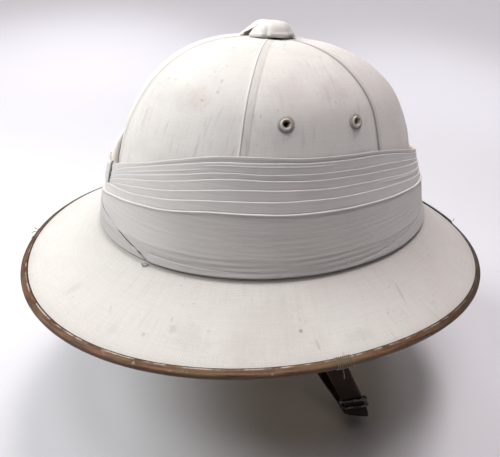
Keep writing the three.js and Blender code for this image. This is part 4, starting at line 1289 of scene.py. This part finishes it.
bridle = Finish("bridle_leather", 0.6, shine=0.12)
wear = bridle.clouds(bridle.place, 90.0, 4.0, 0.65)
bridle.paint(bridle.ranged(wear, 0.4, 0.7), (0.004, 0.003, 0.0027), (0.009, 0.0065, 0.0052))
bridle.lay(bridle.told("edge"), bridle.ranged(wear, 0.35, 0.6), (0.13, 0.055, 0.03))
bridle.feed(bridle.shader["Roughness"], bridle.ranged(wear, 0.3, 0.7, 0.5, 0.75))
bridle.raised(pebbled(bridle, 900.0, 0.3), 0.2 * mm, 0.6)
fixed(strap, bridle, "strap_leather", "chin_strap")

# A plain wire slide of dull steel holds the strap's length: a flattened frame in front of the leather and
# a round bar behind it, joined at the two ends.
SLIDE_AT = (96.0, 46.0, -123.0)
SLIDE = {"across": 21.0, "along": 11.0, "corner": 3.2, "rail": 2.2, "lift": 1.95, "half_thickness": 0.62}
BAR_RADIUS = 0.8
BAR_BEND = [(0.0, 1.9), (0.0, 0.4), (0.0, -1.0), (1.2, -2.1)]  # inwards from the slide's end, off the leather
BAR_MIDDLE = [(3.0, -2.2), (-3.0, -2.2)]
nearest = int(np.argmin(np.linalg.norm(strap_line - np.array(SLIDE_AT), axis=1)))
centre, along, across, off = (v[nearest] for v in (strap_line, strap_along, strap_across, strap_off))
rail = SLIDE["rail"]
route, outwards = rounded(SLIDE["across"] - rail, SLIDE["along"] - rail, SLIDE["corner"] - rail / 2, 9)
slide_rows = []
for angle in np.radians(np.linspace(0, 360, 15)):
    ring = route + rail / 2 * math.cos(angle) * outwards
    lift = SLIDE["lift"] + SLIDE["half_thickness"] * math.sin(angle)
    slide_rows.append((centre + ring[:, :1] * across + ring[:, 1:] * along + lift * off) * mm)
slide_frame, _, _ = lay_grid("steel_slide_frame", np.stack(slide_rows), np.zeros((15, len(route), 2)))
close_up(slide_frame)
reach = (SLIDE["across"] - rail) / 2
bar_route = [(reach - x, y) for x, y in BAR_BEND] + BAR_MIDDLE + [(x - reach, y) for x, y in BAR_BEND[::-1]]
slide_bar = tube("steel_slide_bar", [centre + across * x + off * y for x, y in bar_route], BAR_RADIUS, 12)
slide = joined_up("steel_slide", [slide_frame, slide_bar])
steel = Finish("dull_steel", 0.42)
steel.shader["Metallic"].default_value = 1.0
tarnish = steel.clouds(steel.place, 420.0, 4.0, 0.6)
steel.paint(steel.ranged(tarnish, 0.35, 0.65), (0.16, 0.165, 0.15), (0.05, 0.05, 0.044))
steel.feed(steel.shader["Roughness"], steel.ranged(tarnish, 0.3, 0.7, 0.32, 0.6))
fixed(slide, steel, "steel", "strap_buckle")

# One plain domed steel rivet at each end pins the strap to the pith, out of sight inside the crown. Its
# shank goes through the leather into the pith, and its head lies on the strap's inner face.
RIVET_AT = {"sideways": 88.0, "height": 7.5}
RIVET_PROFILE = np.array([
    # radius, height above the leather
    (0.0, -6.1), (1.55, -6.0), (1.55, 0.25), (3.6, 0.25), (3.75, 0.5), (3.4, 1.25), (2.6, 1.95),
    (1.4, 2.45), (0.0, 2.6),
])
for side, name in ((1, "left"), (-1, "right")):
    foot = (side * RIVET_AT["sideways"] * mm, 0.0, RIVET_AT["height"] * mm)
    rivet, _, _ = turned(f"steel_rivet_{name}", RIVET_PROFILE, foot, (-side, 0.0, 0.0), 32)
    close_up(rivet)
    fixed(rivet, steel, "steel", f"strap_rivet_{name}")

# The box round what shows is worked out.
low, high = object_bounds()
